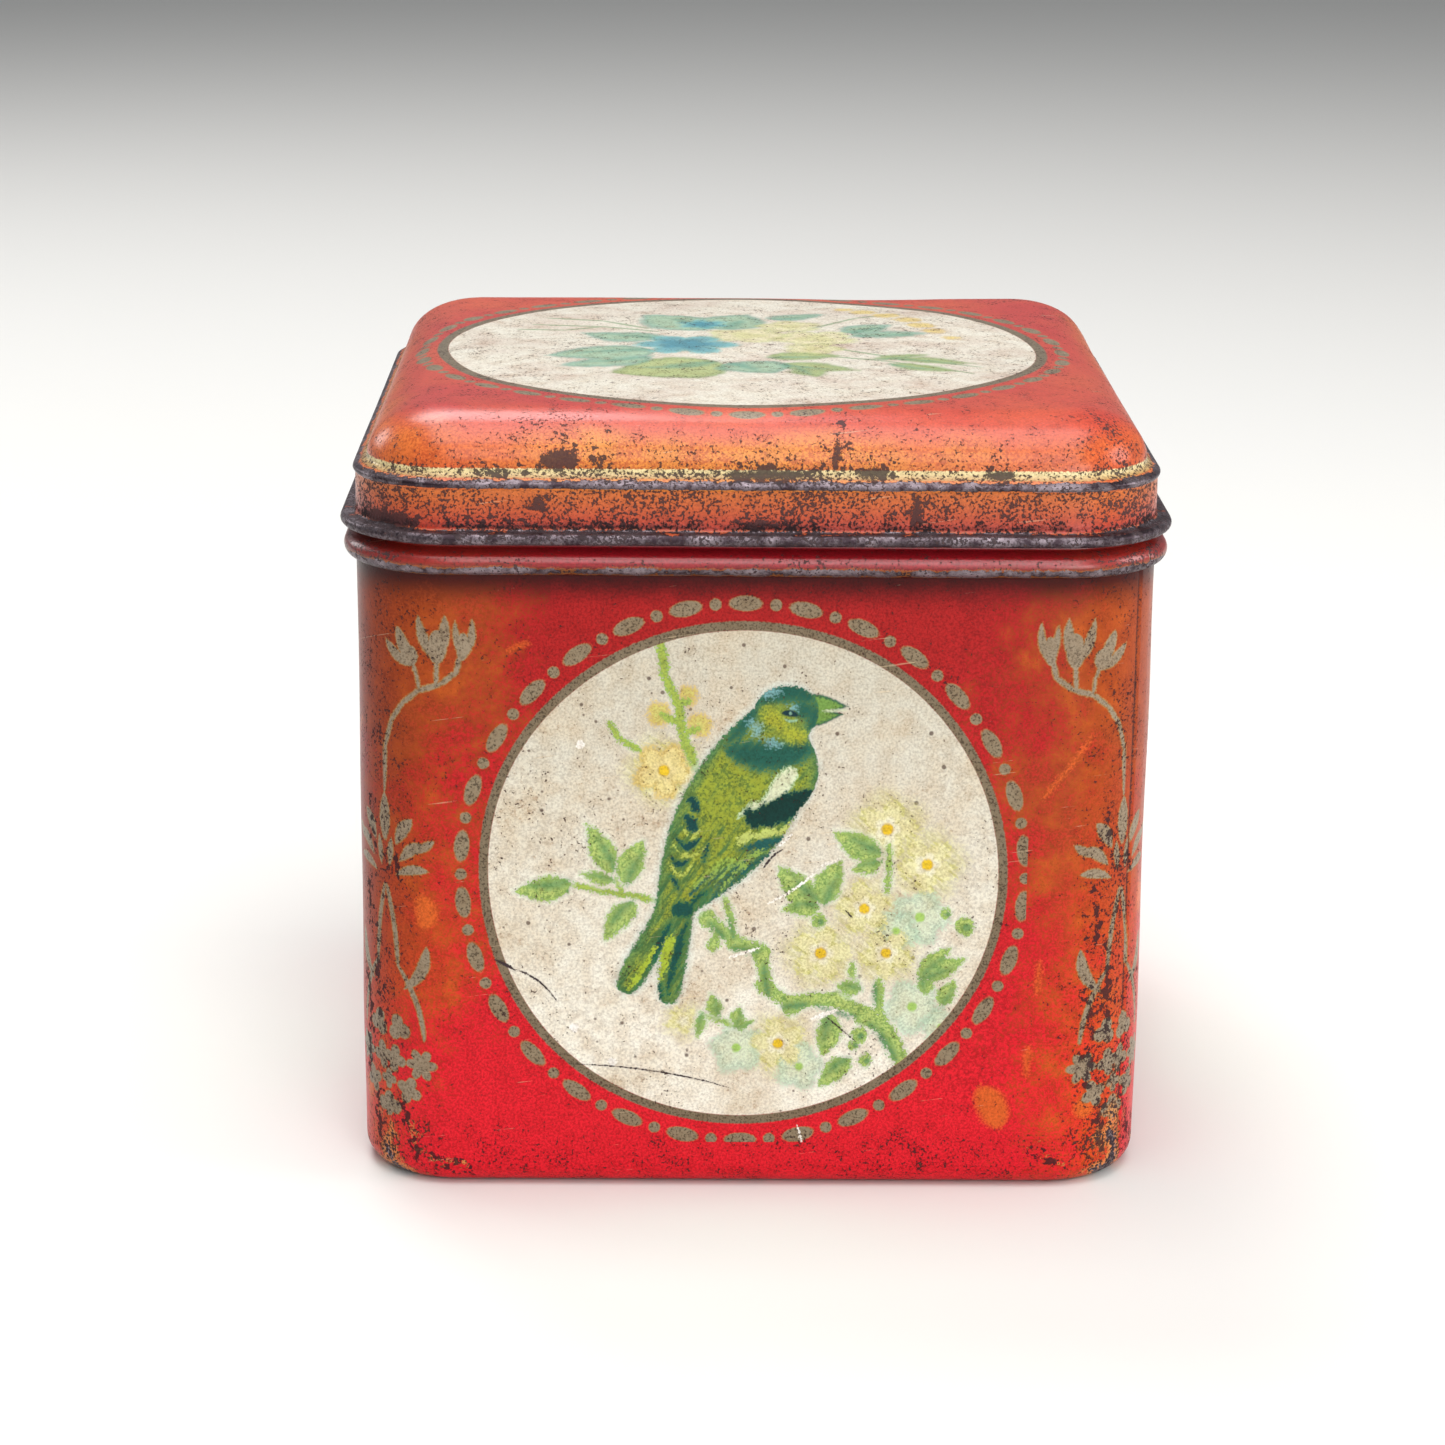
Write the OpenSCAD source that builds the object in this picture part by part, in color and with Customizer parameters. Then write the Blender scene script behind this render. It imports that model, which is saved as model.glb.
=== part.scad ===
// Square slip-lid tin with rounded corners.
// Each piece is one thickness of tinplate, bent along a cross-section that is
// drawn as a path of straight lines and arcs and then carried around the tin.
// The tin stands on z = 0 and is centred on the Z axis. The front faces -Y.

/* [Tin] */
// Width and depth over the plain walls
tin_w = 80; // [60:1:120]
// Radius of the four upright corners, outside
corner_r = 10; // [9:0.5:14]
// Thickness of the tinplate
sheet_t = 0.28; // [0.2:0.01:0.3]

/* [Body] */
// Height of the bead's crest, which the lid comes down to
bead_z = 65.5; // [50:0.5:100]
// How far the bead stands out from the wall
bead_out = 1.2; // [0.9:0.05:1.5]
// How far the neck above the bead is set in from the wall
neck_in = 0.6; // [0.5:0.05:0.8]
// Radius of the round edge at the foot of the wall, middle of the sheet
base_r = 2.4; // [1.5:0.1:3]

/* [Lid] */
// Height of the tin with the lid on
total_h = 79.6; // [64:0.1:116]
// Height of the sharp ridge above the bead's crest
ridge_up = 7.7; // [7:0.1:8.5]
// Height of the curled rim above the bead's crest
rim_up = 2.6; // [2.5:0.1:3]
// Width of the round shoulder between the ledge and the flat top
shoulder_w = 7; // [4:0.1:7.5]

/* [Bottom panel] */
// Distance from the outside of the wall in to the upright flange of the foot
foot_in = 4.2; // [4:0.1:5.5]
// Height of the flat panel above the ground, middle of the sheet
panel_z = 1.2; // [0.9:0.1:1.5]

/* [Lock seam] */
// Where the wall's two edges meet on the front right corner, from the front
seam_angle = 52; // [30:1:60]
// Width of the folded seam inside the wall
seam_w = 5; // [3:0.1:6]

/* [Hidden] */

// half of the sheet, and the distance from the tin's centre to a corner's axis
half_t = sheet_t / 2;
core = tin_w / 2 - corner_r;
// all path positions are [distance from a corner's axis, height]
wall_u = corner_r - half_t;

// bead: a small fillet out of the wall, a round crest, a slope to the neck
bead_turn = 85;
bead_fillet = 0.3;
bead_slope = 70;
bead_r = bead_out / (1 - cos(bead_turn)) - bead_fillet;
bead_u = wall_u + bead_out - bead_r;
bead_low_z = bead_z - (bead_r + bead_fillet) * sin(bead_turn);
neck_u = wall_u - neck_in;
neck_fillet = 0.4;
slope_end_u = neck_u + neck_fillet * (1 - cos(bead_slope));
slope_run = bead_u + bead_r * cos(bead_slope) - slope_end_u;
neck_low_z = bead_z + bead_r * sin(bead_slope) + slope_run / tan(bead_slope)
    + neck_fillet * sin(bead_slope);

// mouth: the neck's top edge is rolled inwards to a small blunt hem
hem_r = 0.42;
neck_top_z = bead_z + ridge_up - 0.55;
hem_z = neck_top_z - hem_r - half_t;

// foot: the wall turns in under the tin and up again to an upright flange
foot_u = corner_r - foot_in;
foot_fold_r = 0.5;
foot_top_z = 2.4;

// bottom panel: its edge climbs the flange and folds down over it
seam_gap = 0.04;
hook_r = sheet_t + seam_gap;
panel_fold_r = 0.35;
hook_low_z = 1.25;

// lid: ledge, sharp ridge, skirt and curled rim, from the top down
ridge_z = bead_z + ridge_up;
rim_z = bead_z + rim_up;
ridge_u = corner_r + 0.2 - half_t;
ridge_out = 0.25;
nose_r = 0.2;
nose_back = 0.3;
nose_turn = 35;
ledge_slope = 28;
ledge_in = 1.26;
ledge_fillet = 0.5;
skirt_u = ridge_u - ridge_out;
shoulder_u = ridge_u - ledge_in - half_t;
ledge_run = ridge_u - nose_r + nose_r * sin(ledge_slope)
    - shoulder_u - ledge_fillet * (1 - sin(ledge_slope));
shoulder_low_z = ridge_z + (nose_r + ledge_fillet) * cos(ledge_slope)
    + ledge_run * tan(ledge_slope);
shoulder_h = total_h - half_t - shoulder_low_z;
nose_drop = (ridge_out - (nose_r + nose_back) * (1 - cos(nose_turn)))
    / tan(nose_turn);
back_z = ridge_z - (nose_r + nose_back) * sin(nose_turn) - nose_drop;
curl_r = 0.44;
curl_u = corner_r + 1.5 - half_t - curl_r;
flare_r = 0.55;

// lock seam: a folded rib inside the corner and a fine joint line outside
seam_fold_t = 2 * sheet_t;
seam_line_w = 0.3;
seam_line_depth = 0.12;
seam_low_z = half_t + base_r + 0.6;
seam_span = seam_w / (corner_r - sheet_t) * 180 / PI;
line_span = seam_line_w / corner_r * 180 / PI;

arc_step = 15;

// points on an arc about c from angle a to angle b, with half-widths rx and ry
function oval(c, rx, ry, a, b, step = arc_step) =
    let (n = ceil(abs(b - a) / step))
    [for (i = [0:n]) let (t = a + (b - a) * i / n) c + [rx * cos(t), ry * sin(t)]];
function arc(c, r, a, b) = oval(c, r, r, a, b);

// direction of the path's step i, and the sideways miter at its point i
function unit(v) = v / norm(v);
function heading(p, i) = unit(p[i + 1] - p[i]);
function left(v) = [-v[1], v[0]];
function miter(p, i) =
    let (last = len(p) - 1)
    let (a = heading(p, max(i - 1, 0)), b = heading(p, min(i, last - 1)))
    let (m = unit(left(a) + left(b)))
    m / (m * left(b));
// the path thickened to a closed strip of sheet
function strip(p) = concat(
    [for (i = [0:len(p) - 1]) p[i] + half_t * miter(p, i)],
    [for (i = [len(p) - 1:-1:0]) p[i] - half_t * miter(p, i)]);

function wall_path() = concat(
    [[foot_u, foot_top_z]],
    arc([foot_u + foot_fold_r, half_t + foot_fold_r], foot_fold_r, 180, 270),
    arc([wall_u - base_r, half_t + base_r], base_r, 270, 360),
    arc([wall_u + bead_fillet, bead_low_z], bead_fillet, 180, 180 - bead_turn),
    [for (i = [1:9]) let (t = -bead_turn + (bead_turn + bead_slope) * i / 9)
        [bead_u, bead_z] + bead_r * [cos(t), sin(t)]],
    arc([neck_u + neck_fillet, neck_low_z], neck_fillet, 180 + bead_slope, 180),
    arc([neck_u - hem_r, hem_z], hem_r, 0, 230));

function panel_path() = concat(
    [[0, panel_z]],
    arc([foot_u - hook_r - panel_fold_r, panel_z + panel_fold_r],
        panel_fold_r, 270, 360),
    arc([foot_u, foot_top_z], hook_r, 180, 0),
    [[foot_u + hook_r, hook_low_z]]);

function lid_path() = concat(
    [[0, total_h - half_t]],
    oval([shoulder_u - shoulder_w, shoulder_low_z], shoulder_w, shoulder_h, 90, 0, 9),
    [for (i = [1:4]) let (t = 180 + (90 - ledge_slope) * i / 4)
        [shoulder_u + ledge_fillet, shoulder_low_z] + ledge_fillet * [cos(t), sin(t)]],
    arc([ridge_u - nose_r, ridge_z], nose_r, 90 - ledge_slope, -nose_turn),
    arc([skirt_u + nose_back, back_z], nose_back, 180 - nose_turn, 180),
    arc([skirt_u + flare_r, rim_z + curl_r + flare_r], flare_r, 180, 270),
    arc([curl_u, rim_z], curl_r, 90, -195));

// carries a profile around the tin: four straight runs and four corners
module around(profile) {
    for (side = [0:3]) rotate([0, 0, 90 * side]) {
        translate([core, core, 0]) rotate([90, 0, 0])
            linear_extrude(height = 2 * core) polygon(profile);
        translate([core, core, 0]) rotate_extrude(angle = 90, $fn = 96) polygon(profile);
    }
}

// the flat middle of a panel, between the corners' axes
module flat(z) {
    translate([-core, -core, z - half_t]) cube([2 * core, 2 * core, sheet_t]);
}

// a block in the front right corner that spans an angle about the seam
module seam_block(r, size, span) {
    translate([core, -core, 0]) rotate([0, 0, seam_angle - 90 - span / 2])
        rotate_extrude(angle = span, $fn = 96)
            translate([r, seam_low_z]) square(size);
}

module body_wall() {
    seam_h = bead_low_z - seam_low_z - 0.4;
    color([0.82, 0.17, 0.1]) difference() {
        union() {
            around(strip(wall_path()));
            seam_block(corner_r - sheet_t - seam_fold_t,
                [seam_fold_t + half_t, seam_h], seam_span);
        }
        seam_block(corner_r - seam_line_depth, [1, seam_h], line_span);
    }
}

module bottom_panel() {
    color([0.55, 0.5, 0.45]) union() {
        around(strip(panel_path()));
        flat(panel_z);
    }
}

module lid() {
    color([0.85, 0.3, 0.12]) union() {
        around(strip(lid_path()));
        flat(total_h - half_t);
    }
}

body_wall();
bottom_panel();
lid();
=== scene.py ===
"""A worn, printed, square slip-lid tin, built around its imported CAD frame.

Lengths in this script are millimetres in the tin's own frame, and MM turns them
into Blender's metres. The three sheets of tinplate are swept around the tin along
the same cross-sections as the CAD parts, and the print is drawn by shader nodes
in the flat coordinates of the unrolled sheet.
"""

import math

import bpy
import numpy as np
from mathutils import Matrix, Vector, noise


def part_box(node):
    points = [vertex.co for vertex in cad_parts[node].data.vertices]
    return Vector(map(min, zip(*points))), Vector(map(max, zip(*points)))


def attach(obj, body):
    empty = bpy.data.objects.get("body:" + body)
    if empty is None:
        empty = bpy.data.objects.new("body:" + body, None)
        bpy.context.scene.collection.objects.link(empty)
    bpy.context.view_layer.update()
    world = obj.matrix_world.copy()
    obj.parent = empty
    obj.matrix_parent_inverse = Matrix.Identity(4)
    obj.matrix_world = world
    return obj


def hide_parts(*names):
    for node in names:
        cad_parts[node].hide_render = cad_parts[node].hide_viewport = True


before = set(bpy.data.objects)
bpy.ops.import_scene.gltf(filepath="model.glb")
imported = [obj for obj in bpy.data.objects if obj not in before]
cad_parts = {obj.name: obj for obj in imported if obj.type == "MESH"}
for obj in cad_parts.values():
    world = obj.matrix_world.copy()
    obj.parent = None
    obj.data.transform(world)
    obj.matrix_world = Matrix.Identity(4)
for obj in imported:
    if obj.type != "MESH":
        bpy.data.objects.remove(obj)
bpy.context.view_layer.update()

# without a seed, the waves of the sheet would differ from one run to the next
noise.seed_set(11)

MM = 0.001

# ---------------------------------------------------------------- dimensions

wall_low, wall_high = (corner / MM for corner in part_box("body_wall"))

# u is measured outward from the axes of the four rounded corners, s along the wall
SHEET_T = 0.28
HALF_T = SHEET_T / 2
CORNER_R = 10.0
BEAD_OUT = 1.2
NECK_IN = 0.6
TIN_W = wall_high.x - wall_low.x - 2 * BEAD_OUT
CORE = TIN_W / 2 - CORNER_R
WALL_U = CORNER_R - HALF_T
QUARTER = CORE + CORNER_R * math.pi / 4
TOTAL_H = (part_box("lid")[1] / MM).z
MOUTH_Z = wall_high.z
RIDGE_Z = MOUTH_Z + 0.55
BEAD_Z = RIDGE_Z - 7.7
RIM_Z = BEAD_Z + 2.6
BASE_R = 2.4
FOOT_U = CORNER_R - 4.2
FOOT_TOP_Z = 2.4
PANEL_Z = 1.2
SEAM_ANGLE = math.radians(52)
SEAM_S = CORNER_R * (SEAM_ANGLE - math.pi / 2) - CORE

# the printed picture on each wall, and the one on the lid
PICTURE_X = -1.15
PICTURE_Z = 33.4
PICTURE_R = 25.55
LID_PICTURE_R = 31.2
RING_W = 0.93
LID_RING_W = 1.2
BEADS_R = 28.25
LID_BEADS_R = 34.1
SPOT_R = 0.6

# how many steps the mesh takes round half a corner and along a flat side
BEND_STEPS = 8
FLAT_STEPS = 22
SHARP_ANGLE = math.radians(42)
SAME_POINT = 0.004
SEAM_HALF = 2.5
SEAM_GROOVE = 0.16

AXIS_X = (1.0, 0.0, 0.0)
AXIS_Y = (0.0, 1.0, 0.0)
AXIS_Z = (0.0, 0.0, 1.0)
EVERYWHERE = (-99.0, -99.0, 99.0, 99.0)
CORNER_REACH = 13.0

# --------------------------------------------------- cross-sections of sheet


def arc(u, z, r, start, end, step=11.0, r_up=None):
    """Points on an arc about (u, z), from one angle to another in degrees."""
    n = max(2, math.ceil(abs(end - start) / step))
    turns = [math.radians(start + (end - start) * i / n) for i in range(n + 1)]
    return [(u + r * math.cos(t), z + (r_up or r) * math.sin(t)) for t in turns]


def line(u0, z0, u1, z1, step):
    """Points strictly between two ends, about a step apart."""
    n = max(1, round(math.hypot(u1 - u0, z1 - z0) / step))
    return [(u0 + (u1 - u0) * i / n, z0 + (z1 - z0) * i / n) for i in range(1, n)]


def joined(*runs):
    """One path through several runs of points, without repeated points."""
    path = []
    for point in (p for run in runs for p in run):
        if not path or math.dist(path[-1], point) > SAME_POINT:
            path.append(point)
    return path


def wall_path():
    """The wall's sheet from the foot's flange up to the rolled mouth."""
    turn, slope, fillet, neck_r, hem_r, foot_r = 85, 70, 0.3, 0.4, 0.42, 0.5
    bead_r = BEAD_OUT / (1 - math.cos(math.radians(turn))) - fillet
    bead_u = WALL_U + BEAD_OUT - bead_r
    low_z = BEAD_Z - (bead_r + fillet) * math.sin(math.radians(turn))
    neck_u = WALL_U - NECK_IN
    end_u = neck_u + neck_r * (1 - math.cos(math.radians(slope)))
    run = bead_u + bead_r * math.cos(math.radians(slope)) - end_u
    neck_z = BEAD_Z + (bead_r + neck_r) * math.sin(math.radians(slope))
    neck_z += run / math.tan(math.radians(slope))
    hem_z = MOUTH_Z - hem_r - HALF_T
    base_z = HALF_T + BASE_R
    foot = arc(FOOT_U + foot_r, HALF_T + foot_r, foot_r, 180, 270, 22)
    base = arc(WALL_U - BASE_R, base_z, BASE_R, 270, 360)
    bead = arc(bead_u, BEAD_Z, bead_r, -turn, slope)
    return joined(
        [(FOOT_U, FOOT_TOP_Z)],
        foot,
        base,
        line(WALL_U, base_z, WALL_U, low_z, 2.4),
        arc(WALL_U + fillet, low_z, fillet, 180, 180 - turn, 17),
        bead,
        arc(neck_u + neck_r, neck_z, neck_r, 180 + slope, 180, 17),
        line(neck_u, neck_z, neck_u, hem_z, 1.6),
        arc(neck_u - hem_r, hem_z, hem_r, 0, 230, 20),
    )


def lid_path():
    """The lid's sheet from the edge of the flat top out and down to the curl."""
    ledge, nose_turn, nose_r, back_r, flare_r = 28, 35, 0.2, 0.3, 0.55
    s, c = math.sin(math.radians(ledge)), math.cos(math.radians(ledge))
    over, skirt_in, ledge_w, rim_out, crown_u = 0.2, 0.25, 1.26, 1.5, 0.9
    ridge_u = CORNER_R + over - HALF_T
    skirt_u = ridge_u - skirt_in
    shoulder_u, shoulder_w, fillet = ridge_u - ledge_w - HALF_T, 7.0, 0.5
    run = ridge_u - nose_r + nose_r * s - shoulder_u - fillet * (1 - s)
    low_z = RIDGE_Z + (nose_r + fillet) * c + run * s / c
    high = TOTAL_H - HALF_T - low_z
    swing = math.radians(nose_turn)
    drop = (skirt_in - (nose_r + back_r) * (1 - math.cos(swing))) / math.tan(swing)
    back_z = RIDGE_Z - (nose_r + back_r) * math.sin(swing) - drop
    curl_r = 0.44
    curl_u = CORNER_R + rim_out - HALF_T - curl_r
    flare_z = RIM_Z + curl_r + flare_r
    shoulder = arc(shoulder_u - shoulder_w, low_z, shoulder_w, 90, 0, 5, high)
    return joined(
        [(0, TOTAL_H - HALF_T), (crown_u, TOTAL_H - HALF_T)],
        shoulder,
        arc(shoulder_u + fillet, low_z, fillet, 180, 270 - ledge, 15),
        arc(ridge_u - nose_r, RIDGE_Z, nose_r, 90 - ledge, -nose_turn, 18),
        arc(skirt_u + back_r, back_z, back_r, 180 - nose_turn, 180, 12),
        line(skirt_u, back_z, skirt_u, flare_z, 0.9),
        arc(skirt_u + flare_r, flare_z, flare_r, 180, 270, 15),
        arc(curl_u, RIM_Z, curl_r, 90, -195, 15),
    )


def panel_path():
    """The bottom panel from its flat middle to the hook over the wall's flange."""
    hook_r, fold_r, hook_end_z = SHEET_T + 0.04, 0.35, 1.25
    return joined(
        [(0, PANEL_Z)],
        arc(FOOT_U - hook_r - fold_r, PANEL_Z + fold_r, fold_r, 270, 360, 22),
        arc(FOOT_U, FOOT_TOP_Z, hook_r, 180, 0, 22),
        [(FOOT_U + hook_r, hook_end_z)],
    )


def faces_of_sheet(path):
    """The left and right faces of the sheet along a path, each as an array."""
    p = np.array(path)
    step = np.diff(p, axis=0)
    step /= np.linalg.norm(step, axis=1)[:, None]
    left = np.stack([-step[:, 1], step[:, 0]], 1)
    before = np.vstack([left[:1], left])
    after = np.vstack([left, left[-1:]])
    miter = before + after
    miter /= np.linalg.norm(miter, axis=1)[:, None]
    miter /= np.sum(miter * after, axis=1)[:, None]
    return p + HALF_T * miter, p - HALF_T * miter


# ------------------------------------------------------------ swept meshes


def side_samples():
    """Places along one side of the unrolled tin, from corner line to corner line."""
    bend = [CORE + (QUARTER - CORE) * i / BEND_STEPS for i in range(1, BEND_STEPS + 1)]
    flat = list(np.linspace(-CORE, CORE, FLAT_STEPS + 1))
    return [-b for b in reversed(bend)] + flat + bend


def flat_lines():
    """The places between the corner axes, for the flat plates."""
    return [s for s in side_samples() if abs(s) <= CORE]


def station(side, s):
    """The corner axis and the outward direction at a place on one side."""
    over = max(abs(s) - CORE, 0.0) / CORNER_R
    sign = math.copysign(1.0, s)
    axis = Vector((max(-CORE, min(CORE, s)), -CORE))
    out = Vector((sign * math.sin(over), -math.cos(over)))
    turn = Matrix.Rotation(side * math.pi / 2, 2)
    return turn @ axis, turn @ out


class Sheet:
    """Collects the faces of one piece, with the print's coordinates at corners."""

    def __init__(self):
        self.points, self.index = [], {}
        self.faces, self.prints, self.kinds = [], [], []

    def point(self, x, y, z):
        """The index of a point, which faces at the same place share."""
        key = (round(x, 3), round(y, 3), round(z, 3))
        if key not in self.index:
            self.index[key] = len(self.points)
            self.points.append((x, y, z))
        return self.index[key]

    def face(self, corners, prints, kind):
        """Adds a face, unless its corners fall together."""
        ids = [self.point(*c) for c in corners]
        keep = [i for i in range(len(ids)) if ids[i] != ids[i - 1]]
        if len(keep) < 3:
            return
        self.faces.append([ids[i] for i in keep])
        self.prints.append([prints[i] for i in keep])
        self.kinds.append(kind)

    def sweep(self, outline, kind_of, columns, flat_print, offset=None):
        """Carries a run of (u, z, outside) rows around the tin."""
        for side in range(4):
            for a, b in zip(columns[side], columns[side][1:]):
                stations = station(side, a), station(side, b)
                for low, high in zip(outline, outline[1:]):
                    corners = []
                    for end, row in ((0, low), (1, low), (1, high), (0, high)):
                        u = offset(side, (a, b)[end], *row) if offset else row[0]
                        axis, out = stations[end]
                        corners.append((*(axis + u * out), row[1]))
                    outside = low[2] and high[2]
                    if flat_print:
                        prints = [(c[0], c[1], 1.0) for c in corners]
                    else:
                        ends = (a, b, b, a)
                        prints = [(e, c[2], 1.0) for e, c in zip(ends, corners)]
                    first = sum(p[0] for p in prints) / 4
                    second = sum(p[1] for p in prints) / 4
                    height = (low[1] + high[1]) / 2
                    kind = kind_of(first, second, height, outside)
                    self.face(corners, prints, kind)

    def plate(self, z, lines, kind_of, outside, upward):
        """A flat square between the corner axes."""
        for x0, x1 in zip(lines, lines[1:]):
            for y0, y1 in zip(lines, lines[1:]):
                corners = [(x0, y0, z), (x1, y0, z), (x1, y1, z), (x0, y1, z)]
                if not upward:
                    corners.reverse()
                prints = [(c[0], c[1], 1.0) for c in corners]
                kind = kind_of((x0 + x1) / 2, (y0 + y1) / 2, z, outside)
                self.face(corners, prints, kind)

    def build(self, name, shape, exposure, materials):
        """Makes the object. shape moves a point, and exposure gives its wear and painted shade."""
        mesh = bpy.data.meshes.new(name)
        moved = [shape(Vector(p)) * MM for p in self.points]
        mesh.from_pydata(moved, [], self.faces)
        corner = mesh.attributes.new("print", "FLOAT_VECTOR", "CORNER")
        flat = [value for face in self.prints for uvw in face for value in uvw]
        corner.data.foreach_set("vector", flat)
        wear = mesh.attributes.new("wear", "FLOAT_VECTOR", "POINT")
        worn = [value for p in self.points for value in exposure(Vector(p))]
        wear.data.foreach_set("vector", worn)
        order = sorted(set(self.kinds))
        for kind in order:
            mesh.materials.append(materials(kind))
        slots = [order.index(kind) for kind in self.kinds]
        mesh.polygons.foreach_set("material_index", slots)
        mesh.validate()
        mesh.shade_smooth()
        mesh.set_sharp_from_angle(angle=SHARP_ANGLE)
        mesh.update()
        thing = bpy.data.objects.new(name, mesh)
        bpy.context.scene.collection.objects.link(thing)
        return thing


# ------------------------------------------------------------- node helpers


def ink(red, green, blue):
    """A colour given from 0 to 255 as it is seen, in Blender's linear light."""
    def linear(value):
        value /= 255
        return value / 12.92 if value <= 0.04045 else ((value + 0.055) / 1.055) ** 2.4
    return (linear(red), linear(green), linear(blue), 1.0)


class Wire:
    """A value that runs through a shader tree, with ordinary arithmetic."""

    def __init__(self, graph, socket):
        self.graph, self.socket = graph, socket

    def __add__(self, other):
        return self.graph.maths("ADD", self, other)

    def __sub__(self, other):
        return self.graph.maths("SUBTRACT", self, other)

    def __rsub__(self, other):
        return self.graph.maths("SUBTRACT", other, self)

    def __mul__(self, other):
        return self.graph.maths("MULTIPLY", self, other)

    def __truediv__(self, other):
        return self.graph.maths("DIVIDE", self, other)

    def __abs__(self):
        return self.graph.maths("ABSOLUTE", self)

    __radd__ = __add__
    __rmul__ = __mul__


class Graph:
    """A shorthand for adding nodes to one shader tree."""

    def __init__(self, tree):
        self.tree = tree

    def plug(self, socket, value):
        """Links a wire to a socket, or sets a plain value on it."""
        if isinstance(value, Wire):
            self.tree.links.new(value.socket, socket)
        else:
            socket.default_value = value

    def node(self, kind, inputs=(), **settings):
        made = self.tree.nodes.new("ShaderNode" + kind)
        for name, value in settings.items():
            setattr(made, name, value)
        for key, value in dict(inputs).items():
            self.plug(made.inputs[key], value)
        return made

    def wire(self, kind, inputs=(), output=0, **settings):
        return Wire(self, self.node(kind, inputs, **settings).outputs[output])

    def maths(self, operation, *values):
        """One arithmetic node."""
        return self.wire("Math", enumerate(values), operation=operation)

    def step(self, value, start, end):
        """0 at start, 1 at end and straight between them."""
        return self.wire("MapRange", {0: value, 1: start, 2: end})

    def ease(self, value, start, end):
        """0 at start, 1 at end and smooth between them."""
        inputs = {0: value, 1: start, 2: end}
        return self.wire("MapRange", inputs, interpolation_type="SMOOTHSTEP")

    def mix(self, factor, first, second, blend="MIX"):
        """From the first colour to the second as the factor goes from 0 to 1."""
        inputs = {0: factor, 6: first, 7: second}
        return self.wire("Mix", inputs, 2, data_type="RGBA", blend_type=blend)

    def tint(self, factor, base, colour):
        """The base, multiplied by the colour as the factor goes from 0 to 1."""
        return self.mix(factor, base, colour, "MULTIPLY")

    def noise(self, place, scale, detail=2.0, roughness=0.5):
        inputs = {"Vector": place, "Scale": scale, "Detail": detail, "Roughness": roughness}
        return self.wire("TexNoise", inputs)

    def dot(self, place, row):
        """How far a place lies along a row."""
        return self.wire("VectorMath", {0: place, 1: row}, 1, operation="DOT_PRODUCT")

    def turned(self, place, first, second):
        """A flat place whose two coordinates are taken along two rows."""
        return self.wire("CombineXYZ", {0: self.dot(place, first), 1: self.dot(place, second)})

    def parts(self, place):
        """The x, y and z of a place."""
        split = self.node("SeparateXYZ", {0: place})
        return [Wire(self, socket) for socket in split.outputs]

    def specks(self, place, scale, radius, share):
        """Small round spots: the share of cells with one, and their radius."""
        cells = self.node("TexVoronoi", {"Vector": place, "Scale": scale})
        chance = self.wire("SeparateColor", {0: Wire(self, cells.outputs["Color"])})
        size = self.wire("MapRange", {0: chance, 1: 0.0, 2: share, 3: radius, 4: 0.0})
        away = Wire(self, cells.outputs["Distance"]) - size
        return self.step(away, 0.02, -0.06)


def blade_group():
    """Distance to a bent leaf shape between two tips, joined to what came before.

    Along and Across are rows that turn the place (x, y, 1) into the position
    along the blade, from -1 to 1, and into the distance from its straight axis.
    """
    tree = bpy.data.node_groups.new("Blade", "ShaderNodeTree")
    names = ["Place", "Along", "Across"]
    names += ["Bend", "Width", "Taper", "Point", "Reach", "Before", "Blend"]
    for name in names:
        kind = "NodeSocketVector" if name in names[:3] else "NodeSocketFloat"
        tree.interface.new_socket(name, in_out="INPUT", socket_type=kind)
    tree.interface.new_socket("Distance", in_out="OUTPUT", socket_type="NodeSocketFloat")
    g = Graph(tree)
    start = tree.nodes.new("NodeGroupInput")
    end = tree.nodes.new("NodeGroupOutput")
    given = {name: Wire(g, start.outputs[name]) for name in names}
    along = g.dot(given["Place"], given["Along"])
    across = g.dot(given["Place"], given["Across"])
    fullness = 1.0 - along * along
    shape = g.maths("POWER", g.maths("MAXIMUM", fullness, 0.0), given["Point"])
    width = shape * g.maths("MULTIPLY_ADD", along, given["Taper"], given["Width"])
    bent = across - fullness * given["Bend"]
    side = abs(bent) - width
    beyond = fullness * given["Reach"]
    distance = g.maths("MAXIMUM", side, beyond)
    joined_up = g.maths("SMOOTH_MIN", distance, given["Before"], given["Blend"])
    g.plug(end.inputs[0], joined_up)
    return tree


BLADE = blade_group()
FAR = 50.0


class Blade:
    """A leaf, petal, feather or stroke between two tips."""

    def __init__(self, x0, y0, x1, y1, width, bend=0.0, point=0.5, taper=0.0):
        self.middle = ((x0 + x1) / 2, (y0 + y1) / 2)
        self.half = max(math.hypot(x1 - x0, y1 - y0) / 2, 0.01)
        self.turn = math.atan2(y1 - y0, x1 - x0)
        self.width, self.bend = width, bend
        self.point, self.taper = point, taper
        spread = width * (1 + abs(taper)) + abs(bend)
        self.low = (min(x0, x1) - spread, min(y0, y1) - spread)
        self.high = (max(x0, x1) + spread, max(y0, y1) + spread)

    def draw(self, page, before, blend):
        x, y = self.middle[0] + page.centre[0], self.middle[1] + page.centre[1]
        c, s = math.cos(self.turn), math.sin(self.turn)
        node = page.g.node("Group", node_tree=BLADE)
        values = [
            page.place,
            (c / self.half, s / self.half, -(x * c + y * s) / self.half),
            (-s, c, x * s - y * c),
            self.bend,
            self.width,
            self.width * self.taper,
            self.point,
            -self.half / 2,
            before,
            blend,
        ]
        for socket, value in zip(node.inputs, values):
            page.g.plug(socket, value)
        return Wire(page.g, node.outputs[0])


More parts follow.
